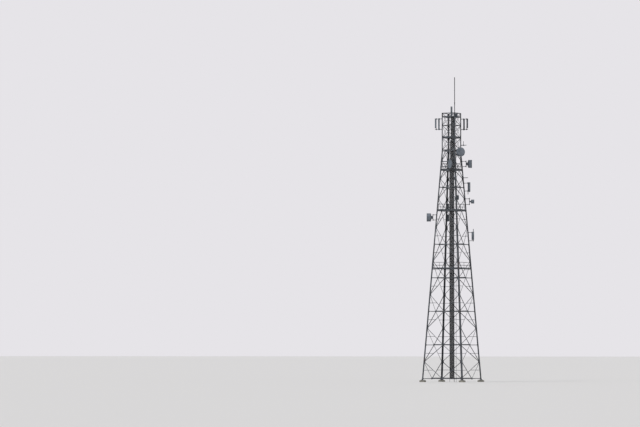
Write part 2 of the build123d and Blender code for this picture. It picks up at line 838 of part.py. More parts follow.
# The antenna that stands on the top deck
mast_foot = top_platform + deck_plate + 2 * seat
with BuildPart() as mast_pole:
    with BuildSketch(pole_plane(mast_point, mast_foot, 0)):
        Rectangle(mast_foot_side, mast_foot_side)
    extrude(amount=clamp_plate[2])
    with BuildSketch(pole_plane(mast_point, mast_foot, 0)):
        Circle(pole_radius)
    extrude(amount=steel_top + mast_rise - mast_foot)
write(mast_pole, "mast_pole")
write(panel_antenna(mast_point, 0, steel_top + mast_panel_rise, mast_panel_size), "mast_antenna")
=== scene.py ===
# %% [markdown]
# A lattice cell tower at half of its real size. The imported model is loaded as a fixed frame, in metres,
# with the ground at z = 0. The tower is steel angle from foot to top, so this scene dresses the frame with
# what holds such a tower together: bolts, splice covers, clamps and gratings.

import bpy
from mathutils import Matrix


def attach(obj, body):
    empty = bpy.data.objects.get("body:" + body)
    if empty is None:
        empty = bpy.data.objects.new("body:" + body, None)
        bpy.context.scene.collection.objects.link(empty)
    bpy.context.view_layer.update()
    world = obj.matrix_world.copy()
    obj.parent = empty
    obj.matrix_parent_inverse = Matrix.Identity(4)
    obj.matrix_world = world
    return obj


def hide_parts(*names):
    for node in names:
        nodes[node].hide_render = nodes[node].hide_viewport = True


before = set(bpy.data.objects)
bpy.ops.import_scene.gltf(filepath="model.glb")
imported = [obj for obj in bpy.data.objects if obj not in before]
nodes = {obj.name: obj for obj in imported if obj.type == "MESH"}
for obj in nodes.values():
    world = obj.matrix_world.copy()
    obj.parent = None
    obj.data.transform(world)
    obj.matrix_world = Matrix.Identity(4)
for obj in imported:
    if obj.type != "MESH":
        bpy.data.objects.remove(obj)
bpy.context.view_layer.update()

# %% [markdown]
# Every part of the frame is a Blender object, kept here by its name. Three libraries do the rest of the
# work: bmesh builds a mesh by hand, mathutils turns vectors, and numpy writes the data of many points at
# once.

# %% Libraries and the table of parts
from math import atan, cos, pi, radians, sin

import bmesh
import bpy
import numpy as np
from mathutils import Matrix, Vector

UP = Vector((0, 0, 1))
print("parts such as:", sorted(nodes)[:3])

# %% [markdown]
# Colours are written as the sRGB hex values that a painter would pick, and the renderer wants linear light,
# so one function does the turning. One more adds a shader or geometry node with its settings and links. An
# input may be given as a value, as a socket, or as a whole node, which stands for its first output.

# %% Colour and node helpers
def linear(colour):
    """An sRGB hex colour, or a plain grey that is linear already, as linear red, green, blue and alpha."""
    if not isinstance(colour, str):
        return (colour, colour, colour, 1)
    parts = [int(colour[i:i + 2], 16) / 255 for i in (1, 3, 5)]
    return (*[p / 12.92 if p <= 0.04045 else ((p + 0.055) / 1.055) ** 2.4 for p in parts], 1)


def add_node(tree, kind, inputs=None, stops=(), **settings):
    """Adds a node with its settings, sets or links its inputs, and sets the stops of a colour ramp."""
    node = tree.nodes.new(kind)
    for key, value in settings.items():
        setattr(node, key, value)
    for key, value in (inputs or {}).items():
        if isinstance(value, bpy.types.Node):
            value = value.outputs[0]
        if isinstance(value, bpy.types.NodeSocket):
            tree.links.new(value, node.inputs[key])
        else:
            node.inputs[key].default_value = value
    for i, (position, colour) in enumerate(stops):
        elements = node.color_ramp.elements
        element = elements[i] if i < len(elements) else elements.new(position)
        element.position = position
        element.color = linear(colour)
    return node


print("mid grey in linear light:", linear("#808080"))

# %% [markdown]
# Every finish here starts from the same layers: a mottle of the surface itself, weather streaks that run
# down the part, stained patches, a fine bump and an uneven sheen. Each is a noise with its own size, worked
# out from real millimetres and halved with the model. Patterns read Object coordinates, so they stay put on
# the steel.

# %% A weathered material
STREAK_MM = 60
PATCH_MM = 180
EVEN = (1, 1, 1)
STREAKED = (1, 1, 0.06)
DRAWN_DOWN = (1, 1, 0.5)


def weathered(name, colours, metallic, roughness, mottle_mm, bump_mm, bump, stain=None, stain_share=0.0,
              spangle_mm=0):
    """A weathered surface with a mottle of dark, middle and light colours, streaks, stains and a bump."""
    dark, middle, light = colours
    material = bpy.data.materials.new(name)
    material.use_nodes = True
    tree = material.node_tree
    tree.nodes.clear()
    where = add_node(tree, "ShaderNodeTexCoord").outputs["Object"]
    layers = {"mottle": (mottle_mm, 5, EVEN), "streaks": (STREAK_MM, 3, STREAKED),
              "patches": (PATCH_MM, 6, DRAWN_DOWN), "bump": (bump_mm, 3, EVEN),
              "sheen": (mottle_mm * 0.6, 4, EVEN)}
    noise = {}
    for layer, (size_mm, detail, stretch) in layers.items():
        stretched = add_node(tree, "ShaderNodeMapping", {"Vector": where, "Scale": stretch})
        noise[layer] = add_node(tree, "ShaderNodeTexNoise", {
            "Vector": stretched, "Scale": 1000 / size_mm, "Detail": detail})
    colour = add_node(tree, "ShaderNodeValToRGB", {0: noise["mottle"]}, [
        (0.3, dark), (0.5, middle), (0.72, light)]).outputs[0]
    if spangle_mm:
        crystals = add_node(tree, "ShaderNodeTexVoronoi", {"Vector": where, "Scale": 1000 / spangle_mm})
        shades = add_node(tree, "ShaderNodeValToRGB", {0: crystals.outputs["Color"]}, [
            (0.2, 0.8), (0.8, 1.0)])
        colour = add_node(tree, "ShaderNodeMix", {0: 1.0, 6: colour, 7: shades}, data_type="RGBA",
                          blend_type="MULTIPLY").outputs[2]
    run = add_node(tree, "ShaderNodeValToRGB", {0: noise["streaks"]}, [(0.52, 0.0), (0.8, 0.45)])
    colour = add_node(tree, "ShaderNodeMix", {0: run, 6: colour, 7: linear(dark)},
                      data_type="RGBA").outputs[2]
    if stain:
        amount = add_node(tree, "ShaderNodeValToRGB", {0: noise["patches"]}, [
            (0.58, 0.0), (0.7, stain_share)])
        colour = add_node(tree, "ShaderNodeMix", {0: amount, 6: colour, 7: linear(stain)},
                          data_type="RGBA").outputs[2]
    relief = add_node(tree, "ShaderNodeBump", {
        "Height": noise["bump"], "Strength": bump, "Distance": bump_mm / 4000})
    sheen = add_node(tree, "ShaderNodeValToRGB", {0: noise["sheen"]}, [
        (0.3, roughness - 0.08), (0.7, roughness + 0.1)])
    shader = add_node(tree, "ShaderNodeBsdfPrincipled", {
        "Base Color": colour, "Metallic": metallic, "Roughness": sheen, "Normal": relief})
    add_node(tree, "ShaderNodeOutputMaterial", {"Surface": shader})
    return material


print("streaks of", STREAK_MM, "mm and patches of", PATCH_MM, "mm")

# %% [markdown]
# Hot-dip galvanised steel starts bright and spangled, and turns a matt dark grey as the zinc weathers. Its
# crystals are 10 to 20 mm across on the real steel. At this picture's size they can't show, so they are
# drawn at 24 and 28 mm. Rust bleeds through in patches where water stands. The rod's near-black colour is
# painted shade: against the sky it is the darkest line of all.

# %% Steel finishes
# Dipped zinc gives the eye a matt grey with faint crystals and brown runs.
galvanised = weathered(
    "galvanised_steel_weathered", ("#33363a", "#4b4f54", "#646a70"), metallic=0.45, roughness=0.55,
    mottle_mm=220, bump_mm=5, bump=0.25, stain="#4a3226", stain_share=0.5, spangle_mm=24)
# The legs' thick angle cools slowly after the bath, so its crystals are larger and its grey is darker.
leg_steel = weathered(
    "galvanised_leg_angle", ("#2e3134", "#44484d", "#5c6268"), metallic=0.45, roughness=0.52,
    mottle_mm=300, bump_mm=6, bump=0.3, stain="#4b3024", stain_share=0.55, spangle_mm=28)
# Spun zinc on bolts is thin: their edges shine a little, and they rust first.
bolt_steel = weathered(
    "zinc_bolts_rusting", ("#3c3733", "#565654", "#74767a"), metallic=0.6, roughness=0.45,
    mottle_mm=40, bump_mm=3, bump=0.3, stain="#5b3621", stain_share=0.7)
# Grating is dipped as a whole panel, and dirt from boots leaves it rough and even.
grating_steel = weathered(
    "galvanised_grating", ("#383c40", "#50545a", "#6a7077"), metallic=0.45, roughness=0.6,
    mottle_mm=120, bump_mm=4, bump=0.2, stain="#4b3327", stain_share=0.4)
# The rod's near-black colour is painted shade, darker than the rest of the steel, with hardly any gleam.
rod_steel = weathered(
    "rod_steel_painted_shade", ("#1e2022", "#2c2e31", "#3c3f43"), metallic=0.2, roughness=0.68,
    mottle_mm=160, bump_mm=4, bump=0.2, stain="#3b2a20", stain_share=0.4)
print("steel finishes:", galvanised.name, leg_steel.name, bolt_steel.name, grating_steel.name, rod_steel.name)

# %% [markdown]
# Radomes and panel covers are moulded glass-fibre plastic, a cool grey that chalks and streaks outdoors. The
# radio boxes are cast aluminium under grey enamel. Cable jackets are black polyethylene, which turns a dull
# dark grey in the sun. The footings are cast concrete with damp stains.

# %% Plastic, enamel, cable and concrete finishes
# A moulded radome is smooth and chalky, with soft grey runs.
radome = weathered(
    "fibreglass_radome", ("#4e555d", "#626a73", "#767e87"), metallic=0.0, roughness=0.5,
    mottle_mm=260, bump_mm=3, bump=0.12, stain="#45413b", stain_share=0.3)
# The cover of a panel antenna is a little glossier than a radome.
panel_cover = weathered(
    "moulded_antenna_cover", ("#484f56", "#5b636b", "#6d757d"), metallic=0.0, roughness=0.46,
    mottle_mm=320, bump_mm=3, bump=0.1, stain="#423e38", stain_share=0.25)
# Enamel on a casting shows the casting's grain under a low gloss.
enamel = weathered(
    "enamelled_aluminium", ("#42474d", "#535960", "#656b72"), metallic=0.0, roughness=0.42,
    mottle_mm=200, bump_mm=4, bump=0.12, stain="#403c37", stain_share=0.3)
# End caps are a darker, rougher plastic than the cover between them.
end_cap = weathered(
    "antenna_end_cap", ("#3a3d41", "#4a4e53", "#585c61"), metallic=0.0, roughness=0.55,
    mottle_mm=120, bump_mm=3, bump=0.15)
# Extruded polyethylene reads as a dull near black.
jacket = weathered(
    "polyethylene_jacket", ("#141416", "#1d1e20", "#2c2e30"), metallic=0.0, roughness=0.58,
    mottle_mm=90, bump_mm=3, bump=0.2)
# Cast concrete is pale, dry and pitted.
concrete = weathered(
    "cast_concrete", ("#6f6d66", "#8a8880", "#a09d94"), metallic=0.0, roughness=0.88,
    mottle_mm=90, bump_mm=7, bump=0.6, stain="#57544b", stain_share=0.6)
print("other finishes:", radome.name, panel_cover.name, enamel.name, end_cap.name, jacket.name, concrete.name)

# %% [markdown]
# The parts of the frame arrive without a finish. Each is of one material, and its name says what it is:
# only the footings, cables, radio boxes and antennas aren't steel. Picking by name keeps the list short,
# and a new mount or brace is galvanised by itself.

# %% Give every part of the frame its finish
def finish_of(name):
    """The material of a part of the frame."""
    named = {"footings": concrete, "feeder_cables": jacket, "radio_boxes": enamel, "lightning_rod": rod_steel}
    if name in named:
        return named[name]
    if name.startswith("leg_"):
        return leg_steel
    if "mount" in name:
        return galvanised
    if name.startswith(("dish_", "drum_", "small_dish")):
        return radome
    if name in ("panel_right", "low_panel", "mast_antenna") or name.startswith("side_panels"):
        return panel_cover
    return galvanised


for name, node in nodes.items():
    if not node.material_slots:
        node.data.materials.append(None)
    for slot in node.material_slots:
        slot.material = finish_of(name)
print("finished parts:", len(nodes))

# %% [markdown]
# The legs lean in by the same amount all the way up to the waist, where a straight cage begins. Everything
# that is bolted on sits on one of the four faces, so one function gives the point on a face and the way it
# looks.

# %% The tower's shape, in metres
BASE_HALF = 1.880
CAGE_HALF = 0.610
CAGE_FOOT = 19.340
STEEL_TOP = 22.490
LEVELS = [0.290, 3.090, 5.890, 8.690, 11.490, 14.290, 16.255, 17.675]
WAIST_GAP = 0.045
LOWER_FLANGE = 0.125
UPPER_FLANGE = 0.110
CAGE_FLANGE = 0.090
SEAT = 0.0003
FOOTING = BASE_HALF - LOWER_FLANGE / 2
AXIS = Vector((-FOOTING, FOOTING, 0))
BATTER = (BASE_HALF - CAGE_HALF) / CAGE_FOOT
LEAN = atan(BATTER)
TURNS = {"front": 0, "right": 90, "back": 180, "left": 270}


def half(z):
    """Half of the width over the heels of the legs at a height."""
    return BASE_HALF - BATTER * min(z, CAGE_FOOT)


def turned(vector, turn):
    """A vector turned about the upright axis."""
    return Matrix.Rotation(radians(turn), 3, "Z") @ Vector(vector)


def flat(turn):
    """The Euler turn of a box that is only turned about the upright axis."""
    return (0, 0, radians(turn))


def on_face(turn, along, z, out=0.0):
    """The point on a face and the outward normal there."""
    normal = Vector((0, -cos(LEAN), sin(LEAN))) if z < CAGE_FOOT else Vector((0, -1, 0))
    point = Vector((along, -half(z), z)) + normal * out
    return AXIS + turned(point, turn), turned(normal, turn)


print("half width at the foot and top:", half(0), half(STEEL_TOP))

# %% [markdown]
# What repeats on this tower is made by Geometry Nodes: a tree puts one copy of a shape on each vertex of a
# mesh of loose points, and keeps its sizes as named inputs. Every such tree starts and ends alike, so two
# functions do that. The end makes the copies real, because the export drops instances.

# %% Start and end of a tree
def new_tree(name, inputs):
    """An empty geometry tree with a geometry input, named inputs and a geometry output."""
    tree = bpy.data.node_groups.new(name, "GeometryNodeTree")
    tree.interface.new_socket("Points", in_out="INPUT", socket_type="NodeSocketGeometry")
    for label, kind in inputs.items():
        tree.interface.new_socket(label, in_out="INPUT", socket_type=kind)
    tree.interface.new_socket("Result", in_out="OUTPUT", socket_type="NodeSocketGeometry")
    return tree, add_node(tree, "NodeGroupInput").outputs


def end_tree(tree, instances, material):
    """Ends a tree with Realize Instances and Set Material."""
    real = add_node(tree, "GeometryNodeRealizeInstances", {"Geometry": instances})
    painted = add_node(tree, "GeometryNodeSetMaterial", {"Geometry": real, "Material": material})
    add_node(tree, "NodeGroupOutput", {0: painted})
    print(tree.name, "tree:", len(tree.nodes), "nodes")


print("ready to build trees")

# %% [markdown]
# Bolts are the thing that repeats most on a lattice tower. One bolt is a threaded end, a hexagon and a
# washer, each a cylinder whose radius is a share of the hexagon's width. Copying a modelled bolt by hand
# would work too, but the tree makes hundreds at once, each turned to the direction that its point carries.

# %% The bolt tree
# from a hexagon's middle to its corners, as a share of its width across the flats
CORNER_SHARE = 1 / 1.732
bolt_tree, given = new_tree("bolts", {
    "Head width": "NodeSocketFloat", "Head height": "NodeSocketFloat", "Washer": "NodeSocketFloat",
    "Thread": "NodeSocketFloat", "Material": "NodeSocketMaterial"})
whole_bolt = add_node(bolt_tree, "GeometryNodeJoinGeometry")
# input that holds the length: sides, radius and middle as shares of the head's width and the length, and base
BOLT_PARTS = {"Thread": (8, 0.3, 0.3, given["Head height"]), "Head height": (6, CORNER_SHARE, 0.5, 0.0),
              "Washer": (10, 0.85, 0.0, 0.0)}
for length, (sides, share, middle_share, base) in BOLT_PARTS.items():
    radius = add_node(bolt_tree, "ShaderNodeMath", {0: given["Head width"], 1: share}, operation="MULTIPLY")
    round_part = add_node(bolt_tree, "GeometryNodeMeshCylinder", {
        "Vertices": sides, "Radius": radius, "Depth": given[length]})
    middle = add_node(bolt_tree, "ShaderNodeMath", {0: given[length], 1: middle_share, 2: base},
                      operation="MULTIPLY_ADD")
    rise = add_node(bolt_tree, "ShaderNodeCombineXYZ", {"Z": middle})
    raised = add_node(bolt_tree, "GeometryNodeTransform", {"Geometry": round_part, "Translation": rise})
    bolt_tree.links.new(raised.outputs[0], whole_bolt.inputs[0])
outward = add_node(bolt_tree, "GeometryNodeInputNamedAttribute", {"Name": "outward"},
                   data_type="FLOAT_VECTOR")
aim = add_node(bolt_tree, "FunctionNodeAlignRotationToVector", {"Vector": outward}, axis="Z")
bolts_on_points = add_node(bolt_tree, "GeometryNodeInstanceOnPoints", {
    "Points": given["Points"], "Instance": whole_bolt, "Rotation": aim})
end_tree(bolt_tree, bolts_on_points, given["Material"])

# %% [markdown]
# A tree needs points to work on and a place to leave its result. The points carry named vectors, such as
# the way a bolt looks. The finished mesh replaces the points and the modifier goes, so a piece is a plain
# mesh, and it rides on the one body that this tower is.

# %% Points into a finished piece
def points_mesh(name, points, **vectors):
    """A mesh of loose points that carry named vectors."""
    mesh = bpy.data.meshes.new(name)
    mesh.from_pydata([tuple(p) for p in points], [], [])
    for key, values in vectors.items():
        layer = mesh.attributes.new(key, "FLOAT_VECTOR", "POINT")
        layer.data.foreach_set("vector", np.array([tuple(v) for v in values], dtype=np.float32).ravel())
    return mesh


def bake(name, mesh, tree, values):
    """Runs a tree on a mesh and keeps the result as a plain mesh that rides on the tower."""
    piece = bpy.data.objects.new(name, mesh)
    bpy.context.scene.collection.objects.link(piece)
    modifier = piece.modifiers.new("tree", "NODES")
    modifier.node_group = tree
    for item in tree.interface.items_tree:
        if item.in_out == "INPUT" and item.name in values:
            modifier[item.identifier] = values[item.name]
    graph = bpy.context.evaluated_depsgraph_get()
    result = bpy.data.meshes.new_from_object(piece.evaluated_get(graph))
    piece.modifiers.clear()
    piece.data = result
    result.name = name
    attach(piece, "root")
    return piece


def bolts(name, spots, width, height=None, thread=None):
    """A piece with a bolt at each (point, outward direction)."""
    mesh = points_mesh(name, [p for p, _ in spots], outward=[n for _, n in spots])
    piece = bake(name, mesh, bolt_tree, {
        "Head width": width, "Head height": height or width * 0.55, "Washer": width * 0.16,
        "Thread": thread or width * 0.5, "Material": bolt_steel})
    print(name, len(spots), "bolts", len(piece.data.polygons), "faces")


print("inputs of the bolt tree:", [item.name for item in bolt_tree.interface.items_tree])

# %% [markdown]
# Each joint of a face has a gusset plate, bolted through the leg's flange on the outside and nutted on the
# inside. The bolts are M20 on a real tower of this size, 30 mm across the flats, so 15 mm here. Rows are
# measured from the middle of a gusset, and columns in from the heel of the leg.

# %% Bolts of the leaning faces
BOLT = 0.015
GUSSET_OUT = -0.0104
GUSSET_IN = -0.0164
SPLICE_LEVELS = [LEVELS[2], LEVELS[4], LEVELS[6]]
WAIST = CAGE_FOOT - WAIST_GAP
LEG_COLUMNS = (0.036, 0.072)
LEVEL_ROWS = (-0.036, 0.036)
DIAMOND_ROWS = (-0.09, 0.0, 0.09)
DIAGONAL_COLUMN = 0.150
DIAGONAL_ROWS = (-0.075, 0.075)
HORIZONTAL_COLUMN = 0.138
CENTRE_COLUMN = 0.075
CENTRE_ROWS = (-0.05, 0.05)
WAIST_COLUMNS = (0.037, 0.072)


def joint_bolts(turn):
    """The bolts of one leaning face, outside and inside."""
    outside, inside = [], []

    def bolt(along, z, on_leg=False):
        outside.append(on_face(turn, along, z, 0.0 if on_leg else GUSSET_OUT))
        point, normal = on_face(turn, along, z, GUSSET_IN)
        inside.append((point, -normal))

    for bottom, top in zip(LEVELS, LEVELS[1:] + [WAIST]):
        middle = (bottom + top) / 2
        for hand in (-1, 1):
            level_rows = [] if bottom in SPLICE_LEVELS else LEVEL_ROWS
            for level, rows in ((bottom, level_rows), (middle, DIAMOND_ROWS)):
                for row in rows:
                    for column in LEG_COLUMNS:
                        bolt(hand * (half(level) - column), level + row, on_leg=True)
            for row in DIAGONAL_ROWS:
                bolt(hand * (half(middle) - DIAGONAL_COLUMN), middle + row)
            bolt(hand * (half(bottom) - HORIZONTAL_COLUMN), bottom)
            for row in CENTRE_ROWS:
                bolt(hand * CENTRE_COLUMN, bottom + row)
    for hand in (-1, 1):
        for column in WAIST_COLUMNS:
            bolt(hand * (CAGE_HALF - column), WAIST, on_leg=True)
    return outside + inside


for face, turn in TURNS.items():
    bolts(f"joint_bolts_{face}", joint_bolts(turn), BOLT)

# %% [markdown]
# The cage's bars are bolted straight to its legs, without gussets, by two bolts at each end, nutted behind.
# One more bolt holds each cross where its bars meet.

# %% Bolts of the cage
CAGE_PANEL = 1.050
HORIZONTAL_WIDTH = 0.050
CAGE_BARS = [CAGE_FOOT + WAIST_GAP, CAGE_FOOT + CAGE_PANEL, CAGE_FOOT + 2 * CAGE_PANEL,
             STEEL_TOP - HORIZONTAL_WIDTH / 2]
CAGE_COLUMNS = (0.030, 0.062)
CAGE_NUTS = -0.0154
CROSSING = -0.0094
cage_spots = []
for turn in TURNS.values():
    for z in CAGE_BARS:
        for hand in (-1, 1):
            for column in CAGE_COLUMNS:
                along = hand * (CAGE_HALF - column)
                point, normal = on_face(turn, along, z, CAGE_NUTS)
                cage_spots += [on_face(turn, along, z), (point, -normal)]
    for bottom, top in zip(CAGE_BARS, CAGE_BARS[1:]):
        cage_spots.append(on_face(turn, 0, (bottom + top) / 2, CROSSING))
bolts("cage_bolts", cage_spots, BOLT)

# %% [markdown]
# Bars, plates and blocks of one section are the other thing that repeats: the bars of a grating, toe
# boards, the clamp blocks of the cables and the cooling fins of a radio. The second tree puts a box of its
# own size and turn on each point.

# %% The bar tree
bar_tree, given = new_tree("bars", {"Material": "NodeSocketMaterial"})
unit = add_node(bar_tree, "GeometryNodeMeshCube", {"Size": (1, 1, 1)})
size = add_node(bar_tree, "GeometryNodeInputNamedAttribute", {"Name": "size"}, data_type="FLOAT_VECTOR")
euler = add_node(bar_tree, "GeometryNodeInputNamedAttribute", {"Name": "turn"}, data_type="FLOAT_VECTOR")
turn_of_bar = add_node(bar_tree, "FunctionNodeEulerToRotation", {0: euler})
bars_on_points = add_node(bar_tree, "GeometryNodeInstanceOnPoints", {
    "Points": given["Points"], "Instance": unit, "Rotation": turn_of_bar, "Scale": size})
end_tree(bar_tree, bars_on_points, given["Material"])


def bars(name, boxes, material, bevel=0.0, segments=2):
    """A piece with a box at each (middle, size, turn), with its edges eased where a bevel is given."""
    mesh = points_mesh(name, [b[0] for b in boxes], size=[b[1] for b in boxes], turn=[b[2] for b in boxes])
    piece = bake(name, mesh, bar_tree, {"Material": material})
    if bevel:
        eased = piece.modifiers.new("eased", "BEVEL")
        eased.width, eased.segments = bevel, segments
    print(name, len(boxes), "boxes")
    return piece


# %% [markdown]
# The decks are open bar grating, which is why a tower's platforms look like thin lines and not like slabs.
# The bearing bars of a real one stand 30 mm apart, so 15 mm here, tied by twisted rods every 100 mm, so 50
# mm here. Each grating stands for the plain plate of the frame and leaves its ladder well open. The bars
# end inside the band round the edge and are a hair lower than it, so that no two faces lie in one plane.

# %% Deck gratings
DECK_RISE = 0.0653
LOWER_DECK_RISE = 0.790
TOP_DECK_DROP = 0.340
TOP_DECK = STEEL_TOP - TOP_DECK_DROP
DECKS = {"lower": LEVELS[3] + LOWER_DECK_RISE, "middle": LEVELS[5] + DECK_RISE,
         "upper": LEVELS[7] + DECK_RISE, "cage": CAGE_BARS[1] + DECK_RISE, "top": TOP_DECK}
DECK_PLATE = 0.010
DECK_INSET = 0.052
WELL_LEFT, WELL_RIGHT, WELL_FRONT, WELL_BACK = -0.216, 0.441, -0.430, 0.0253
WELL_MARGIN = 0.002
BEARING_WIDTH, BEARING_HEIGHT, BEARING_PITCH = 0.003, 0.010, 0.015
BEARING_DROP = 0.0006
CROSS_SIDE, CROSS_PITCH, CROSS_RISE = 0.005, 0.050, 0.002
BAND = 0.005


def deck_reach(floor):
    """Half of the width of a deck whose plate stands on a floor height."""
    return half(floor + DECK_PLATE) - DECK_INSET


def stretches(in_well, near, far, end):
    """The stretches of a bar between the middles of the bands, cut where it meets the well."""
    return [(-end, near - BAND / 2), (far + BAND / 2, end)] if in_well else [(-end, end)]


def grating(reach, floor):
    """The boxes of one grating around its well."""
    base = floor + SEAT + BEARING_HEIGHT / 2
    end = reach - BAND / 2
    boxes = []

    def box(x0, x1, y0, y1, height=BEARING_HEIGHT, z=base):
        boxes.append((AXIS + Vector(((x0 + x1) / 2, (y0 + y1) / 2, z)), (x1 - x0, y1 - y0, height), flat(0)))

    count = int(2 * reach / BEARING_PITCH)
    for i in range(1, count):
        x = -reach + i * 2 * reach / count
        in_well = WELL_LEFT - WELL_MARGIN < x < WELL_RIGHT + WELL_MARGIN
        for y0, y1 in stretches(in_well, WELL_FRONT, WELL_BACK, end):
            box(x - BEARING_WIDTH / 2, x + BEARING_WIDTH / 2, y0, y1, BEARING_HEIGHT - BEARING_DROP)
    count = int(2 * reach / CROSS_PITCH)
    for i in range(1, count):
        y = -reach + i * 2 * reach / count
        for x0, x1 in stretches(WELL_FRONT < y < WELL_BACK, WELL_LEFT, WELL_RIGHT, end):
            box(x0, x1, y - CROSS_SIDE / 2, y + CROSS_SIDE / 2, CROSS_SIDE, base + CROSS_RISE)
    for x0, x1, y0, y1 in ((-reach, reach, -reach, reach),
                           (WELL_LEFT - BAND, WELL_RIGHT + BAND, WELL_FRONT - BAND, WELL_BACK + BAND)):
        box(x0, x0 + BAND, y0, y1)
        box(x1 - BAND, x1, y0, y1)
        box(x0, x1, y0, y0 + BAND)
        box(x0, x1, y1 - BAND, y1)
    return boxes


for name, floor in DECKS.items():
    piece = bars(f"grating_{name}", grating(deck_reach(floor), floor), grating_steel)
    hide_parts(f"deck_{name}")

# %% [markdown]
# The legs come in stock lengths. Where two lengths meet, cover plates on both flanges carry the load
# across, with two columns of bolts. At the waist the covers are bent, because the cage above stands
# upright, so each is made as a leaning half and an upright half.

# %% Splice covers on the legs
COVER_WALL = 0.008
COVER_MARGIN = 0.022
COVER_LENGTH = 0.440
HALF_COVER = 0.180
BELOW_WAIST = 0.092
ABOVE_WAIST = 0.090
COVER_PITCH = 0.060
COVER_COLUMNS = (-0.018, 0.018)
# middle height, length, flange of the leg
COVERS = [(LEVELS[2], COVER_LENGTH, LOWER_FLANGE), (LEVELS[4], COVER_LENGTH, LOWER_FLANGE),
          (LEVELS[6], COVER_LENGTH, UPPER_FLANGE), (CAGE_FOOT - BELOW_WAIST, HALF_COVER, CAGE_FLANGE),
          (CAGE_FOOT + ABOVE_WAIST, HALF_COVER, CAGE_FLANGE)]
covers, cover_bolts = [], []
for turn in TURNS.values():
    for hand in (-1, 1):
        for middle, length, flange in COVERS:
            lean = LEAN if middle < CAGE_FOOT else 0
            point, _ = on_face(turn, hand * (half(middle) - flange / 2), middle, COVER_WALL / 2)
            size = (flange - 2 * COVER_MARGIN, length, COVER_WALL)
            covers.append((point, size, (pi / 2 - lean, 0, radians(turn))))
            rows = int(length / COVER_PITCH)
            for i in range(rows):
                z = middle + (i - (rows - 1) / 2) * COVER_PITCH
                for column in COVER_COLUMNS:
                    cover_bolts.append(on_face(turn, hand * (half(z) - flange / 2) + column, z, COVER_WALL))
bars("splice_covers", covers, galvanised, bevel=0.0015)
bolts("splice_bolts", cover_bolts, BOLT)

# %% [markdown]
# A base plate is held down by four anchor bolts, each with a plate washer and a nut that the threaded end
# stands out of. They are bigger than the bolts of the lattice: M36 on the real tower. Two of the four stand a
# little further out, on the side of the leg's heel.

# %% Anchor bolts
PLATE_TOP = 0.168
WASHER_SIDE, WASHER_WALL = 0.042, 0.006
NUT_WIDTH, NUT_HEIGHT, ANCHOR_THREAD = 0.027, 0.015, 0.045
ANCHORS = ((-0.098, -0.098), (-0.098, 0.098), (0.105, -0.105), (0.105, 0.098))
anchors, washers = [], []
for turn in TURNS.values():
    for x, y in ANCHORS:
        spot = AXIS + turned((FOOTING + x, -FOOTING + y, PLATE_TOP), turn)
        washers.append((spot + UP * WASHER_WALL / 2, (WASHER_SIDE, WASHER_SIDE, WASHER_WALL), flat(turn)))
        anchors.append((spot + UP * WASHER_WALL, UP))
bolts("anchor_bolts", anchors, NUT_WIDTH, NUT_HEIGHT, ANCHOR_THREAD)
bars("anchor_washers", washers, galvanised, bevel=0.001)

# %% [markdown]
# Every deck has a toe board round its edge, so that no tool rolls off. On the three large platforms, every
# guard post stands on a small foot plate. Both repeat around the four sides, so the bar tree makes them.

# %% Toe boards and post feet
TOE_WALL, TOE_HEIGHT = 0.003, 0.050
TOE_SETBACK, TOE_RISE, TOE_CORNER = 0.0025, 0.0105, 0.012
GUARD_HEIGHT, GUARD_BAR, GUARD_GAP = 0.500, 0.020, 0.023
FOOT_PLATE = (0.060, 0.050, 0.006)
toe, feet = [], []
for name, floor in DECKS.items():
    reach = deck_reach(floor)
    for turn in TURNS.values():
        middle = AXIS + turned((0, -reach + TOE_SETBACK, floor + TOE_RISE + TOE_HEIGHT / 2), turn)
        toe.append((middle, (2 * reach - TOE_CORNER, TOE_WALL, TOE_HEIGHT), flat(turn)))
    if name in ("lower", "middle", "upper"):
        rail_floor = floor + DECK_PLATE + 2 * SEAT
        rail_reach = half(rail_floor + GUARD_HEIGHT) - DECK_INSET - GUARD_BAR
        post = rail_reach - GUARD_BAR / 2
        for turn in TURNS.values():
            for along in (-post, -GUARD_GAP / 2, post - GUARD_GAP):
                middle = AXIS + turned((along, -post, rail_floor + FOOT_PLATE[2] / 2), turn)
                feet.append((middle, FOOT_PLATE, flat(turn)))
bars("toe_boards", toe, grating_steel)
bars("post_feet", feet, galvanised, bevel=0.001)

# %% [markdown]
# The feeders are clipped to every rung of their ladder with moulded blocks under a steel strap. The blocks
# repeat with the rungs, so the bar tree makes them. A rung holds only the feeders that still go on above
# it.

# %% Feeder clamps
FEEDER_RADIUS = 0.014
FEEDER_PITCH = 0.033
LADDER_X = 0.010
LADDER_BACK = 0.025
LADDER_DEPTH = 0.050
RUNG = 0.012
RUNGS, FIRST_RUNG, RUNG_PITCH = 44, 0.540, 0.500
FEEDER_Y = LADDER_BACK - LADDER_DEPTH / 2 - RUNG / 2 - SEAT - FEEDER_RADIUS
WAIST_FEEDER_RISE = 0.790
FEEDER_TOPS = [LEVELS[6], LEVELS[7]] + [CAGE_FOOT + WAIST_FEEDER_RISE] * 2 + [TOP_DECK] * 8
FEEDER_END = 0.05
BLOCK, BLOCK_DROP = (0.0315, 0.034, 0.040), 0.002
STRAP_WALL, STRAP_HEIGHT, STRAP_DROP = 0.004, 0.020, 0.021
STRAP_END = 0.006


def feeder_x(i):
    """Where a feeder runs across its ladder, counted from 0."""
    return LADDER_X + (i - (len(FEEDER_TOPS) - 1) / 2) * FEEDER_PITCH


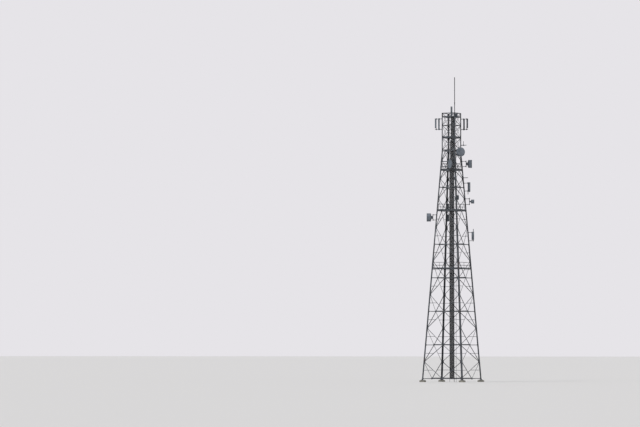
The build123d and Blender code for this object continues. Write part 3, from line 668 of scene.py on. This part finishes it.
blocks, straps, strap_bolts = [], [], []
for step in range(RUNGS):
    z = FIRST_RUNG + step * RUNG_PITCH
    held = [i for i, top in enumerate(FEEDER_TOPS) if top > z + FEEDER_END]
    if not held:
        continue
    for i in held:
        blocks.append((AXIS + Vector((feeder_x(i), FEEDER_Y - BLOCK_DROP, z)), BLOCK, flat(0)))
    x0, x1 = feeder_x(held[0] - 0.5), feeder_x(held[-1] + 0.5)
    middle = AXIS + Vector(((x0 + x1) / 2, FEEDER_Y - STRAP_DROP, z))
    straps.append((middle, (x1 - x0, STRAP_WALL, STRAP_HEIGHT), flat(0)))
    for x in (x0 + STRAP_END, (x0 + x1) / 2, x1 - STRAP_END):
        spot = AXIS + Vector((x, FEEDER_Y - STRAP_DROP - STRAP_WALL / 2, z))
        strap_bolts.append((spot, Vector((0, -1, 0))))
bars("feeder_clamp_blocks", blocks, jacket, bevel=0.002)
bars("feeder_clamp_straps", straps, galvanised)
bolts("feeder_clamp_bolts", strap_bolts, width=0.008)

# %% [markdown]
# Antennas hang on upright pipes, and each pipe is held to its arms by U-bolts: a threaded rod bent round
# the pipe and nutted through a plate. The third tree bends one from an arc and two straight legs, and sets
# it on each point by two directions, the pipe's and the way that the bow points.

# %% The U-bolt tree
ARC_POINTS, ROD_SIDES = 9, 8
u_tree, given = new_tree("u_bolts", {
    "Bend radius": "NodeSocketFloat", "Rod radius": "NodeSocketFloat", "Leg": "NodeSocketFloat",
    "Material": "NodeSocketMaterial"})
rod = add_node(u_tree, "GeometryNodeCurvePrimitiveCircle", {
    "Resolution": ROD_SIDES, "Radius": given["Rod radius"]})
lines = [add_node(u_tree, "GeometryNodeCurveArc", {
    "Resolution": ARC_POINTS, "Radius": given["Bend radius"], "Start Angle": -pi / 2, "Sweep Angle": pi})]
back = add_node(u_tree, "ShaderNodeMath", {0: given["Leg"], 1: -1.0}, operation="MULTIPLY")
for hand in (-1.0, 1.0):
    aside = add_node(u_tree, "ShaderNodeMath", {0: given["Bend radius"], 1: hand}, operation="MULTIPLY")
    start = add_node(u_tree, "ShaderNodeCombineXYZ", {"Y": aside})
    end = add_node(u_tree, "ShaderNodeCombineXYZ", {"X": back, "Y": aside})
    lines.append(add_node(u_tree, "GeometryNodeCurvePrimitiveLine", {"Start": start, "End": end}))
u_shape = add_node(u_tree, "GeometryNodeJoinGeometry")
for line in lines:
    swept = add_node(u_tree, "GeometryNodeCurveToMesh", {
        "Curve": line, "Profile Curve": rod, "Fill Caps": True})
    u_tree.links.new(swept.outputs[0], u_shape.inputs[0])
pipe = add_node(u_tree, "GeometryNodeInputNamedAttribute", {"Name": "pipe"}, data_type="FLOAT_VECTOR")
bow = add_node(u_tree, "GeometryNodeInputNamedAttribute", {"Name": "outward"}, data_type="FLOAT_VECTOR")
upright = add_node(u_tree, "FunctionNodeAlignRotationToVector", {"Vector": pipe}, axis="Z")
facing = add_node(u_tree, "FunctionNodeAlignRotationToVector", {"Rotation": upright, "Vector": bow}, axis="X",
                  pivot_axis="Z")
u_on_points = add_node(u_tree, "GeometryNodeInstanceOnPoints", {
    "Points": given["Points"], "Instance": u_shape, "Rotation": facing})
end_tree(u_tree, u_on_points, given["Material"])

# %% [markdown]
# Two arms carry a pole, or two bars across a face do. A pole's place follows from the face, the height of
# its arms, the distance along the face and the reach out from it, and every antenna is then built from its
# pole. The arms grip the middle of a leg's flange.

# %% Where the poles are
POLE_RADIUS = 0.028
SIDE_ARMS = (21.110, 21.985)


def gauge(z):
    """The middle of a leg's flange, from the middle of a face."""
    return half(z) - (CAGE_FLANGE if z > CAGE_FOOT else LOWER_FLANGE) / 2


# name: face, heights of the arms, reach
ON_LEGS = {
    "drum_right": (90, (18.010, 18.440), 0.373),
    "drum_left": (270, (13.520, 13.950), 0.315),
    "panel_right": (90, (15.960, 16.620), 0.356),
    "low_panel": (90, (11.800, 12.490), 0.440),
    "small_dish": (90, (14.840, 15.310), 0.371),
}
# name: face, heights of the bars, reach, along the face
ON_BARS = {
    "dish_right": (90, (18.940, 19.270), 0.095, -0.154),
    "dish_front": (0, (17.960, 18.400), 0.195, 0.495),
}
# name: face, heights of the arms, reach
ON_CAGE = {
    "side_panel_right_near": (90, SIDE_ARMS, 0.240),
    "side_panel_right_far": (90, SIDE_ARMS, 0.540),
    "side_panel_left_near": (270, SIDE_ARMS, 0.240),
    "side_panel_left_far": (270, SIDE_ARMS, 0.540),
}
MOUNTS = {**ON_LEGS, **ON_BARS, **ON_CAGE}
poles = {}
for name, (turn, arms, reach, *along) in MOUNTS.items():
    middle = sum(arms) / 2
    across = along[0] if along else gauge(middle)
    poles[name] = AXIS + turned((across, -half(middle) - reach, 0), turn)
print("poles:", len(poles))

# %% [markdown]
# Two U-bolts and a plate clamp a pole at each of its arms. The bow goes round the pole from outside, and
# its legs go through the plate.

# %% Clamps at the arms
CLAMP_PLATE = (0.092, 0.010, 0.104)
ARM_U_LEG, ARM_U_RISE = 0.046, 0.034
U_ROD = 0.0045


def u_bolts(name, spots, leg):
    """A piece with a U-bolt round a pole at each (point, pipe direction, bow direction)."""
    mesh = points_mesh(name, [s[0] for s in spots], pipe=[s[1] for s in spots], outward=[s[2] for s in spots])
    bake(name, mesh, u_tree, {
        "Bend radius": POLE_RADIUS + U_ROD, "Rod radius": U_ROD, "Leg": leg, "Material": bolt_steel})
    print(name, len(spots), "U-bolts")


arm_clamps, clamp_plates = [], []
for name, (turn, arms, *_) in MOUNTS.items():
    out = turned((0, -1, 0), turn)
    for z in arms:
        centre = poles[name] + UP * z
        for rise in (-ARM_U_RISE, ARM_U_RISE):
            arm_clamps.append((centre + UP * rise, UP, out))
        clamp_plates.append((centre - out * (POLE_RADIUS + CLAMP_PLATE[1] / 2), CLAMP_PLATE, flat(turn)))
u_bolts("arm_u_bolts", arm_clamps, ARM_U_LEG)
bars("arm_clamp_plates", clamp_plates, galvanised, bevel=0.0015)

# %% [markdown]
# The plates that carry the arms and the radio boxes are bolted through the leg's flange at their four
# corners. The bars across a face have two bolts in each leg.

# %% Bolts of the arms' plates
ARM_PLATE_WALL = 0.012
CROSS_BAR_DEPTH = 0.034
CROSS_BAR_COLUMNS = (0.040, 0.080)
PLATE_SPREAD = (0.032, 0.046)
SPARE_HIGH, SPARE_LOW = 19.790, 17.070
# face, hand of the leg, middle height, reach, width, depth, height of the box
RADIO_BOXES = [(90, -1, 22.215, 0.040, 0.300, 0.120, 0.370), (90, -1, 15.362, 0.030, 0.170, 0.110, 0.376),
               (180, 1, 13.750, 0.030, 0.250, 0.140, 0.580), (180, 1, 14.700, 0.030, 0.190, 0.110, 0.480)]
plate_bolts = []


def four_bolts(turn, along, z):
    """Bolts at the corners of a plate on a leg's flange."""
    for x in (-PLATE_SPREAD[0], PLATE_SPREAD[0]):
        for rise in (-PLATE_SPREAD[1], PLATE_SPREAD[1]):
            plate_bolts.append(on_face(turn, along + x, z + rise, ARM_PLATE_WALL + SEAT))


for turn, arms, _ in ON_LEGS.values():
    for z in arms:
        four_bolts(turn, gauge(sum(arms) / 2), z)
for turn, heights, *_ in ON_BARS.values():
    for z in heights:
        for hand in (-1, 1):
            for column in CROSS_BAR_COLUMNS:
                plate_bolts.append(on_face(turn, hand * (half(z) - column), z, CROSS_BAR_DEPTH + SEAT))
side_plates = [(turn, 1, z) for turn in (90, 270) for z in SIDE_ARMS]
spare_plates = [(90, 1, SPARE_HIGH), (90, 1, SPARE_LOW)]
for turn, hand, z in side_plates + spare_plates + [box[:3] for box in RADIO_BOXES]:
    four_bolts(turn, hand * gauge(z), z)
bolts("arm_plate_bolts", plate_bolts, width=0.012)

# %% [markdown]
# Round things that the trees don't make are turned shapes, as on a lathe: a profile of distances along a
# line and radii from it is spun round that line. Doubles are merged and normals recalculated afterwards,
# because a spin can turn a shape inside out. A coaxial connector is a nut with a thinner barrel, and three
# pieces use it.

# %% Turned shapes
CORE = 0.0001


def spun(profile, start, direction, steps):
    """Vertices and faces of a closed profile of (along, radius) spun round an axis."""
    axis = Vector(direction).normalized()
    side = axis.orthogonal().normalized()
    other = axis.cross(side)
    vertices, faces = [], []
    for step in range(steps):
        angle = 2 * pi * step / steps
        ray = side * cos(angle) + other * sin(angle)
        vertices += [Vector(start) + axis * along + ray * radius for along, radius in profile]
    for step in range(steps):
        here, there = step * len(profile), (step + 1) % steps * len(profile)
        for i in range(len(profile)):
            j = (i + 1) % len(profile)
            faces.append((here + i, there + i, there + j, here + j))
    return vertices, faces


def connector(spot, way, nut, barrel, steps=12):
    """A coaxial connector, from the (end, radius) of its nut and of its barrel."""
    profile = [(0, CORE), (0, nut[1]), nut, (nut[0], barrel[1]), barrel, (barrel[0], CORE)]
    return spun(profile, spot, way, steps)


def piece_of(name, shapes, material):
    """One piece from lists of vertices and faces, with its doubles merged and its normals outwards."""
    shaped = bmesh.new()
    for vertices, faces in shapes:
        made = [shaped.verts.new(v) for v in vertices]
        for face in faces:
            shaped.faces.new([made[i] for i in face])
    bmesh.ops.remove_doubles(shaped, verts=shaped.verts, dist=1e-6)
    bmesh.ops.recalc_face_normals(shaped, faces=shaped.faces)
    mesh = bpy.data.meshes.new(name)
    shaped.to_mesh(mesh)
    shaped.free()
    mesh.materials.append(material)
    piece = bpy.data.objects.new(name, mesh)
    bpy.context.scene.collection.objects.link(piece)
    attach(piece, "root")
    print(name, len(mesh.polygons), "faces")


print("faces of one connector:", len(connector((0, 0, 0), UP, (0.022, 0.0110), (0.034, 0.0085))[1]))

# %% [markdown]
# Each feeder ends in a coaxial connector under a shrunk-on boot, at its foot and where it leaves the
# ladder. The boot keeps water out of the joint, so it overlaps the jacket and closes round the connector's
# nut.

# %% Boots and connectors of the feeders
FEEDER_FOOT = 0.260
BOOT = [(-0.080, 0.0138), (-0.074, 0.0156), (0.002, 0.0156), (0.008, 0.0125), (0.008, 0.0090)]
FEEDER_NUT, FEEDER_BARREL = (0.022, 0.0110), (0.034, 0.0085)
FEEDER_STEPS = 14
feeder_ends = []
for i, top in enumerate(FEEDER_TOPS):
    for z, way in ((FEEDER_FOOT, -UP), (top, UP)):
        feeder_ends.append((AXIS + Vector((feeder_x(i), FEEDER_Y, z)), way))
boots = [spun(BOOT, spot, way, FEEDER_STEPS) for spot, way in feeder_ends]
plugs = [connector(spot, way, FEEDER_NUT, FEEDER_BARREL, FEEDER_STEPS) for spot, way in feeder_ends]
piece_of("feeder_boots", boots, jacket)
piece_of("feeder_connectors", plugs, bolt_steel)

# %% [markdown]
# A round antenna is a spun aluminium dish with a deep shroud, closed by a radome. Bands hold the radome and
# the shroud, and the hub has a flange at the back. Each band is one profile, spun about the line that the
# antenna looks along, so its numbers are steps along that line and out from the shroud.

# %% Bands of the round antennas
HUB_FOOT = POLE_RADIUS + SEAT
HUB_LENGTH = 0.090
HUB_SHARE = 0.34
RIM_SHARE = 0.2
FRONT_BAND = [(-0.024, 0), (-0.024, 0.004), (-0.004, 0.007), (0.003, 0.003), (0.003, -0.004)]
RIM_BAND = [(-0.004, 0), (-0.002, 0.006), (0.014, 0.006), (0.014, 0)]
HUB_BAND = [(-0.020, -0.001), (-0.020, 0.023), (-0.010, 0.023), (-0.010, -0.001)]
SHROUD_STEPS, HUB_STEPS = 64, 40
# pole: height of the middle, look, radius, depth
ROUND = {
    "drum_right": (18.225, 115.7, 0.335, 0.360),
    "drum_left": (13.735, 295.7, 0.343, 0.390),
    "small_dish": (15.075, 115.7, 0.165, 0.270),
    "dish_right": (19.186, 61, 0.360, 0.300),
    "dish_front": (18.175, -40, 0.390, 0.100),
}


def look_ahead(look):
    """The level direction that an antenna looks in."""
    return Vector((sin(radians(look)), -cos(radians(look)), 0))


bands = []
for name, (z, look, radius, depth) in ROUND.items():
    for profile, start, ring, steps in (
            (FRONT_BAND, HUB_LENGTH + depth, radius, SHROUD_STEPS),
            (RIM_BAND, HUB_LENGTH + radius * RIM_SHARE, radius, SHROUD_STEPS),
            (HUB_BAND, HUB_LENGTH, radius * HUB_SHARE, HUB_STEPS)):
        outline = [(HUB_FOOT + start + along, ring + out) for along, out in profile]
        bands.append(spun(outline, poles[name] + UP * z, look_ahead(look), steps))
piece_of("antenna_bands", bands, galvanised)

# %% [markdown]
# Small bolts stand all round the bands, and eight more on the hub's flange look back. A large antenna has
# twice as many round its shroud as the small one. Two U-bolts and a plate clamp each hub to its pole.

# %% Bolts and clamps of the round antennas
LARGE_RADIUS = 0.2
FRONT_BOLT, RIM_BOLT, HUB_BOLT = (-0.014, 0.005), (0.005, 0.006), (-0.020, 0.012)
HUB_BOLTS = 8
HUB_U_LEG, HUB_U_RISE = 0.044, 0.048
HUB_PLATE = (0.100, 0.008, 0.150)
hub_clamps, band_bolts, hub_plates = [], [], []
for name, (z, look, radius, depth) in ROUND.items():
    centre = poles[name] + UP * z
    ahead = look_ahead(look)
    side = ahead.cross(UP)
    front, rim = HUB_FOOT + HUB_LENGTH + depth, HUB_FOOT + HUB_LENGTH + radius * RIM_SHARE
    count = 24 if radius > LARGE_RADIUS else 12
    for i in range(count):
        angle = 2 * pi * i / count
        ray = side * cos(angle) + UP * sin(angle)
        for start, (along, out) in ((front, FRONT_BOLT), (rim, RIM_BOLT)):
            band_bolts.append((centre + ahead * (start + along) + ray * (radius + out), ray))
    for i in range(HUB_BOLTS):
        angle = 2 * pi * (i + 0.5) / HUB_BOLTS
        ray = side * cos(angle) + UP * sin(angle)
        along, out = HUB_FOOT + HUB_LENGTH + HUB_BOLT[0], radius * HUB_SHARE + HUB_BOLT[1]
        band_bolts.append((centre + ahead * along + ray * out, -ahead))
    for rise in (-HUB_U_RISE, HUB_U_RISE):
        hub_clamps.append((centre + UP * rise, UP, -ahead))
    hub_plates.append((centre + ahead * (POLE_RADIUS + HUB_PLATE[1] / 2), HUB_PLATE, flat(look)))
bolts("antenna_band_bolts", band_bolts, width=0.009)
u_bolts("hub_u_bolts", hub_clamps, HUB_U_LEG)
bars("hub_plates", hub_plates, galvanised, bevel=0.001)

# %% [markdown]
# A panel antenna is a moulded cover with a cap at both ends, coaxial connectors under it, and two brackets
# that U-bolts clamp to the pole. The caps stand a little proud of the cover and have rounded edges.

# %% Caps, connectors and brackets of the panels
PANEL_GAP = 0.034
MAST_POINT = (-0.060, 0.230, 0)
PANEL_CAP, CAP_PROUD, CAP_INSET = 0.022, 0.004, 0.009
PORTS = (-0.045, -0.015, 0.015, 0.045)
PORT_NUT, PORT_BARREL, PORT_SINK = (0.010, 0.009), (0.026, 0.0065), 0.001
BRACKET_SHARES = (0.14, 0.86)
PANEL_U_LEG, PANEL_U_RISE = 0.050, 0.012
NEAR_SIDE_PANEL, FAR_SIDE_PANEL = (21.070, (0.130, 0.060, 0.950)), (21.230, (0.130, 0.060, 0.790))
poles["mast_antenna"] = AXIS + Vector(MAST_POINT)
# pole: foot, (width, depth, height), look
PANELS = {
    "panel_right": (15.890, (0.170, 0.120, 0.790), 90),
    "low_panel": (11.880, (0.210, 0.075, 0.660), 0),
    "side_panel_right_near": (*NEAR_SIDE_PANEL, 180),
    "side_panel_right_far": (*FAR_SIDE_PANEL, 180),
    "side_panel_left_near": (*NEAR_SIDE_PANEL, 360),
    "side_panel_left_far": (*FAR_SIDE_PANEL, 360),
    "mast_antenna": (22.220, (0.150, 0.075, 0.820), 0),
}
caps, ports, panel_clamps = [], [], []
for name, (foot, (width, depth, height), look) in PANELS.items():
    ahead = look_ahead(look)
    side = UP.cross(ahead)
    middle = poles[name] + ahead * (POLE_RADIUS + PANEL_GAP + depth / 2)
    for z in (foot + CAP_INSET, foot + height - CAP_INSET):
        caps.append((middle + UP * z, (width + CAP_PROUD, depth + CAP_PROUD, PANEL_CAP), flat(look)))
    for x in PORTS:
        ports.append(connector(middle + side * x + UP * (foot - PORT_SINK), -UP, PORT_NUT, PORT_BARREL))
    for share in BRACKET_SHARES:
        for rise in (-PANEL_U_RISE, PANEL_U_RISE):
            panel_clamps.append((poles[name] + UP * (foot + share * height + rise), UP, -ahead))
bars("antenna_end_caps", caps, end_cap, bevel=0.009, segments=3)
piece_of("antenna_connectors", ports, bolt_steel)
u_bolts("panel_u_bolts", panel_clamps, PANEL_U_LEG)

# %% [markdown]
# The lightning rod stands in three lengths. Tubes over its core give the upper two their thickness. A
# reducer joins them to the lowest, a sleeve covers the joint between the two, and a cap closes the tip. All
# are turned, with heights from the top of the steel.

# %% Tubes and fittings of the rod
ROD_CORNER = 0.5644
TUBE_BORE, TUBE_RADIUS = 0.0205, 0.0300
TUBES = ((0.8305, 1.8440), (1.8460, 2.9200))
REDUCER = [(0.730, 0.0295), (0.730, 0.0380), (0.800, 0.0380), (0.830, 0.0345),
           (0.830, 0.0195), (0.781, 0.0195), (0.781, 0.0295)]
SLEEVE = [(1.800, 0.0305), (1.800, 0.0350), (1.890, 0.0350), (1.890, 0.0305)]
TIP_CAP = [(2.860, 0.0305), (2.860, 0.0345), (2.9205, 0.0345), (2.9290, 0.0300),
           (2.9290, 0.0195), (2.9205, 0.0195), (2.9205, 0.0305)]
ROD_STEPS = 24
rod_foot = AXIS + Vector((ROD_CORNER, -ROD_CORNER, STEEL_TOP))
tubes = []
for low, high in TUBES:
    wall = [(low, TUBE_BORE), (low, TUBE_RADIUS), (high, TUBE_RADIUS), (high, TUBE_BORE)]
    tubes.append(spun(wall, rod_foot, UP, ROD_STEPS))
fittings = [spun(profile, rod_foot, UP, ROD_STEPS) for profile in (REDUCER, SLEEVE, TIP_CAP)]
piece_of("rod_tubes", tubes, rod_steel)
piece_of("rod_fittings", fittings, rod_steel)

# %% [markdown]
# The rod's foot goes through two blocks, bolted from inside to the flanges of the corner leg. The short pole
# of the empty arm stands in a cross clamp with four bolts through it, so a bolt is drawn at each of their
# ends.

# %% Bolts of the rod's blocks and of the cross clamp
BLOCK_FACE = 0.5317
# the blocks and the cross clamp have one size
BLOCK_SIDE = 0.076
BLOCK_DROPS = (0.255, 0.180)
CLAMP_BOLT = 0.026
SPARE_POLE_REACH = 0.230
block_middle = BLOCK_FACE + BLOCK_SIDE / 2
clamp_spots = []
for drop in BLOCK_DROPS:
    for aside in (-CLAMP_BOLT, CLAMP_BOLT):
        z = STEEL_TOP - drop
        clamp_spots.append((AXIS + Vector((BLOCK_FACE, -block_middle + aside, z)), Vector((-1, 0, 0))))
        clamp_spots.append((AXIS + Vector((block_middle + aside, -BLOCK_FACE, z)), Vector((0, 1, 0))))
cross_clamp = AXIS + Vector((CAGE_HALF + SPARE_POLE_REACH, gauge(SPARE_HIGH), SPARE_HIGH))
for x in (-CLAMP_BOLT, CLAMP_BOLT):
    for y in (-CLAMP_BOLT, CLAMP_BOLT):
        for hand in (-1, 1):
            clamp_spots.append((cross_clamp + Vector((x, y, hand * BLOCK_SIDE / 2)), UP * hand))
bolts("clamp_bolts", clamp_spots, width=0.010)

# %% [markdown]
# Each radio box sheds its heat through upright fins, which repeat along its front and its sides, so the bar
# tree makes them. Four coaxial ports look down from its underside.

# %% Radio fins and ports
FIN_WALL, FIN_REACH, FIN_PITCH = 0.003, 0.018, 0.015
FIN_SINK = 0.001
FRONT_MARGIN, SIDE_MARGIN, END_MARGIN = 0.04, 0.03, 0.05
BOX_PORTS = (-0.05, -0.017, 0.017, 0.05)
BOX_NUT, BOX_BARREL = (0.012, 0.011), (0.030, 0.007)
fins, box_plugs = [], []
for turn, hand, z, reach, width, depth, height in RADIO_BOXES:
    along = hand * gauge(z)
    back = half(z - height / 2) + reach
    tall = height - END_MARGIN
    count = int((width - FRONT_MARGIN) / FIN_PITCH)
    for i in range(count):
        x = along + (i - (count - 1) / 2) * FIN_PITCH
        spot = AXIS + turned((x, -back - depth - FIN_REACH / 2, z), turn)
        fins.append((spot, (FIN_WALL, FIN_REACH, tall), flat(turn)))
    count = int((depth - SIDE_MARGIN) / FIN_PITCH)
    for i in range(count):
        y = -back - depth / 2 + (i - (count - 1) / 2) * FIN_PITCH
        for edge in (-1, 1):
            spot = AXIS + turned((along + edge * (width / 2 + FIN_REACH / 2 - FIN_SINK), y, z), turn)
            fins.append((spot, (FIN_REACH, FIN_WALL, tall), flat(turn)))
    for x in BOX_PORTS:
        spot = AXIS + turned((along + x, -back - depth / 2, z - height / 2 + PORT_SINK), turn)
        box_plugs.append(connector(spot, -UP, BOX_NUT, BOX_BARREL))
bars("radio_fins", fins, enamel)
piece_of("radio_connectors", box_plugs, bolt_steel)

# %% [markdown]
# The tower stands on a plain pale floor, far wider than the picture, which keeps the tower's shadow. It is
# staging and not part of the tower.

# %% Floor
FLOOR_REACH = 1500
floor_mesh = bpy.data.meshes.new("floor")
corners = [(x * FLOOR_REACH, y * FLOOR_REACH, 0) for x, y in ((-1, -1), (1, -1), (1, 1), (-1, 1))]
floor_mesh.from_pydata(corners, [], [(0, 1, 2, 3)])
floor = bpy.data.objects.new("floor", floor_mesh)
bpy.context.scene.collection.objects.link(floor)
floor_paint = bpy.data.materials.new("pale_floor")
floor_paint.use_nodes = True
tree = floor_paint.node_tree
tree.nodes.clear()
matt = add_node(tree, "ShaderNodeBsdfPrincipled", {"Base Color": linear("#dcdad8"), "Roughness": 0.9})
add_node(tree, "ShaderNodeOutputMaterial", {"Surface": matt})
floor_mesh.materials.append(floor_paint)
print("floor:", 2 * FLOOR_REACH, "m wide")

# %% [markdown]
# The world does two things: it lights the tower evenly, and it is the pale backdrop. The camera sees the
# backdrop, and so do mirroring and clear surfaces, so that metal shows what stands behind the viewer. All
# other rays meet the dimmer light, which keeps the colours of the tower about as they are written.

# %% Sky
world = bpy.data.worlds.new("studio")
bpy.context.scene.world = world
world.use_nodes = True
tree = world.node_tree
tree.nodes.clear()
rays = add_node(tree, "ShaderNodeLightPath").outputs
lighting = add_node(tree, "ShaderNodeBackground", {"Color": linear("#eef0f4"), "Strength": 0.62})
backdrop = add_node(tree, "ShaderNodeBackground", {"Color": linear("#e6e4e8"), "Strength": 1.0})
seen = rays["Is Camera Ray"]
for kind in ("Is Glossy Ray", "Is Transmission Ray"):
    seen = add_node(tree, "ShaderNodeMath", {0: seen, 1: rays[kind]}, operation="MAXIMUM")
sky = add_node(tree, "ShaderNodeMixShader", {0: seen, 1: lighting, 2: backdrop})
add_node(tree, "ShaderNodeOutputWorld", {"Surface": sky})
print("sky nodes:", len(tree.nodes))

# %% [markdown]
# Two broad lamps shape the steel: a key from the front left, and a weaker fill from the right that keeps
# the far flanges from going black. They are far away, so they light the foot and the tip alike.

# %% Lamps
def lamp(name, azimuth, elevation, strength, spread):
    """A distant soft lamp that shines from an azimuth and elevation, in degrees."""
    light = bpy.data.lights.new(name, "SUN")
    light.energy, light.angle = strength, radians(spread)
    shining = bpy.data.objects.new(name, light)
    source = look_ahead(azimuth) * cos(radians(elevation)) + UP * sin(radians(elevation))
    shining.rotation_mode = "QUATERNION"
    shining.rotation_quaternion = source.to_track_quat("Z", "Y")
    bpy.context.scene.collection.objects.link(shining)
    print(name, "lamp from", tuple(round(part, 3) for part in source))


lamp("key", azimuth=-20, elevation=42, strength=1.5, spread=25)
lamp("fill", azimuth=110, elevation=30, strength=0.5, spread=40)
bpy.context.scene.view_settings.view_transform = "Standard"

# %% [markdown]
# The photograph looks at the tower level from far away, 25.7 degrees round to the right of its front face,
# with the tower right of the middle and the horizon near the bottom. A long lens keeps the legs' lean true.
# The scale of the picture, in metres of model to a pixel, gives the distance, and two rows of it give the
# height of the eye.

# %% Camera
AZIMUTH = 25.7
METRES_PER_PIXEL = 0.0836
PICTURE_WIDTH, PICTURE_HEIGHT = 640, 427
TOWER_PIXEL = 451.7
GROUND_PIXEL = 382
HORIZON_PIXEL = 352
LENS, SENSOR = 200, 36
FAR_CLIP = 5000
distance = METRES_PER_PIXEL * PICTURE_WIDTH * LENS / SENSOR
towards_viewer = look_ahead(AZIMUTH)
right = UP.cross(towards_viewer)
eye_height = (GROUND_PIXEL - HORIZON_PIXEL) * METRES_PER_PIXEL
aside = (PICTURE_WIDTH / 2 - TOWER_PIXEL) * METRES_PER_PIXEL
aim_height = (GROUND_PIXEL - PICTURE_HEIGHT / 2) * METRES_PER_PIXEL
camera_data = bpy.data.cameras.new("camera")
camera_data.lens, camera_data.sensor_width, camera_data.clip_end = LENS, SENSOR, FAR_CLIP
camera = bpy.data.objects.new("camera", camera_data)
bpy.context.scene.collection.objects.link(camera)
camera.location = AXIS + towards_viewer * distance + UP * eye_height
aim_point = AXIS + right * aside + UP * aim_height
camera.rotation_mode = "QUATERNION"
camera.rotation_quaternion = (aim_point - camera.location).to_track_quat("-Z", "Y")
bpy.context.scene.camera = camera
print("camera", tuple(camera.location), "distance", distance)
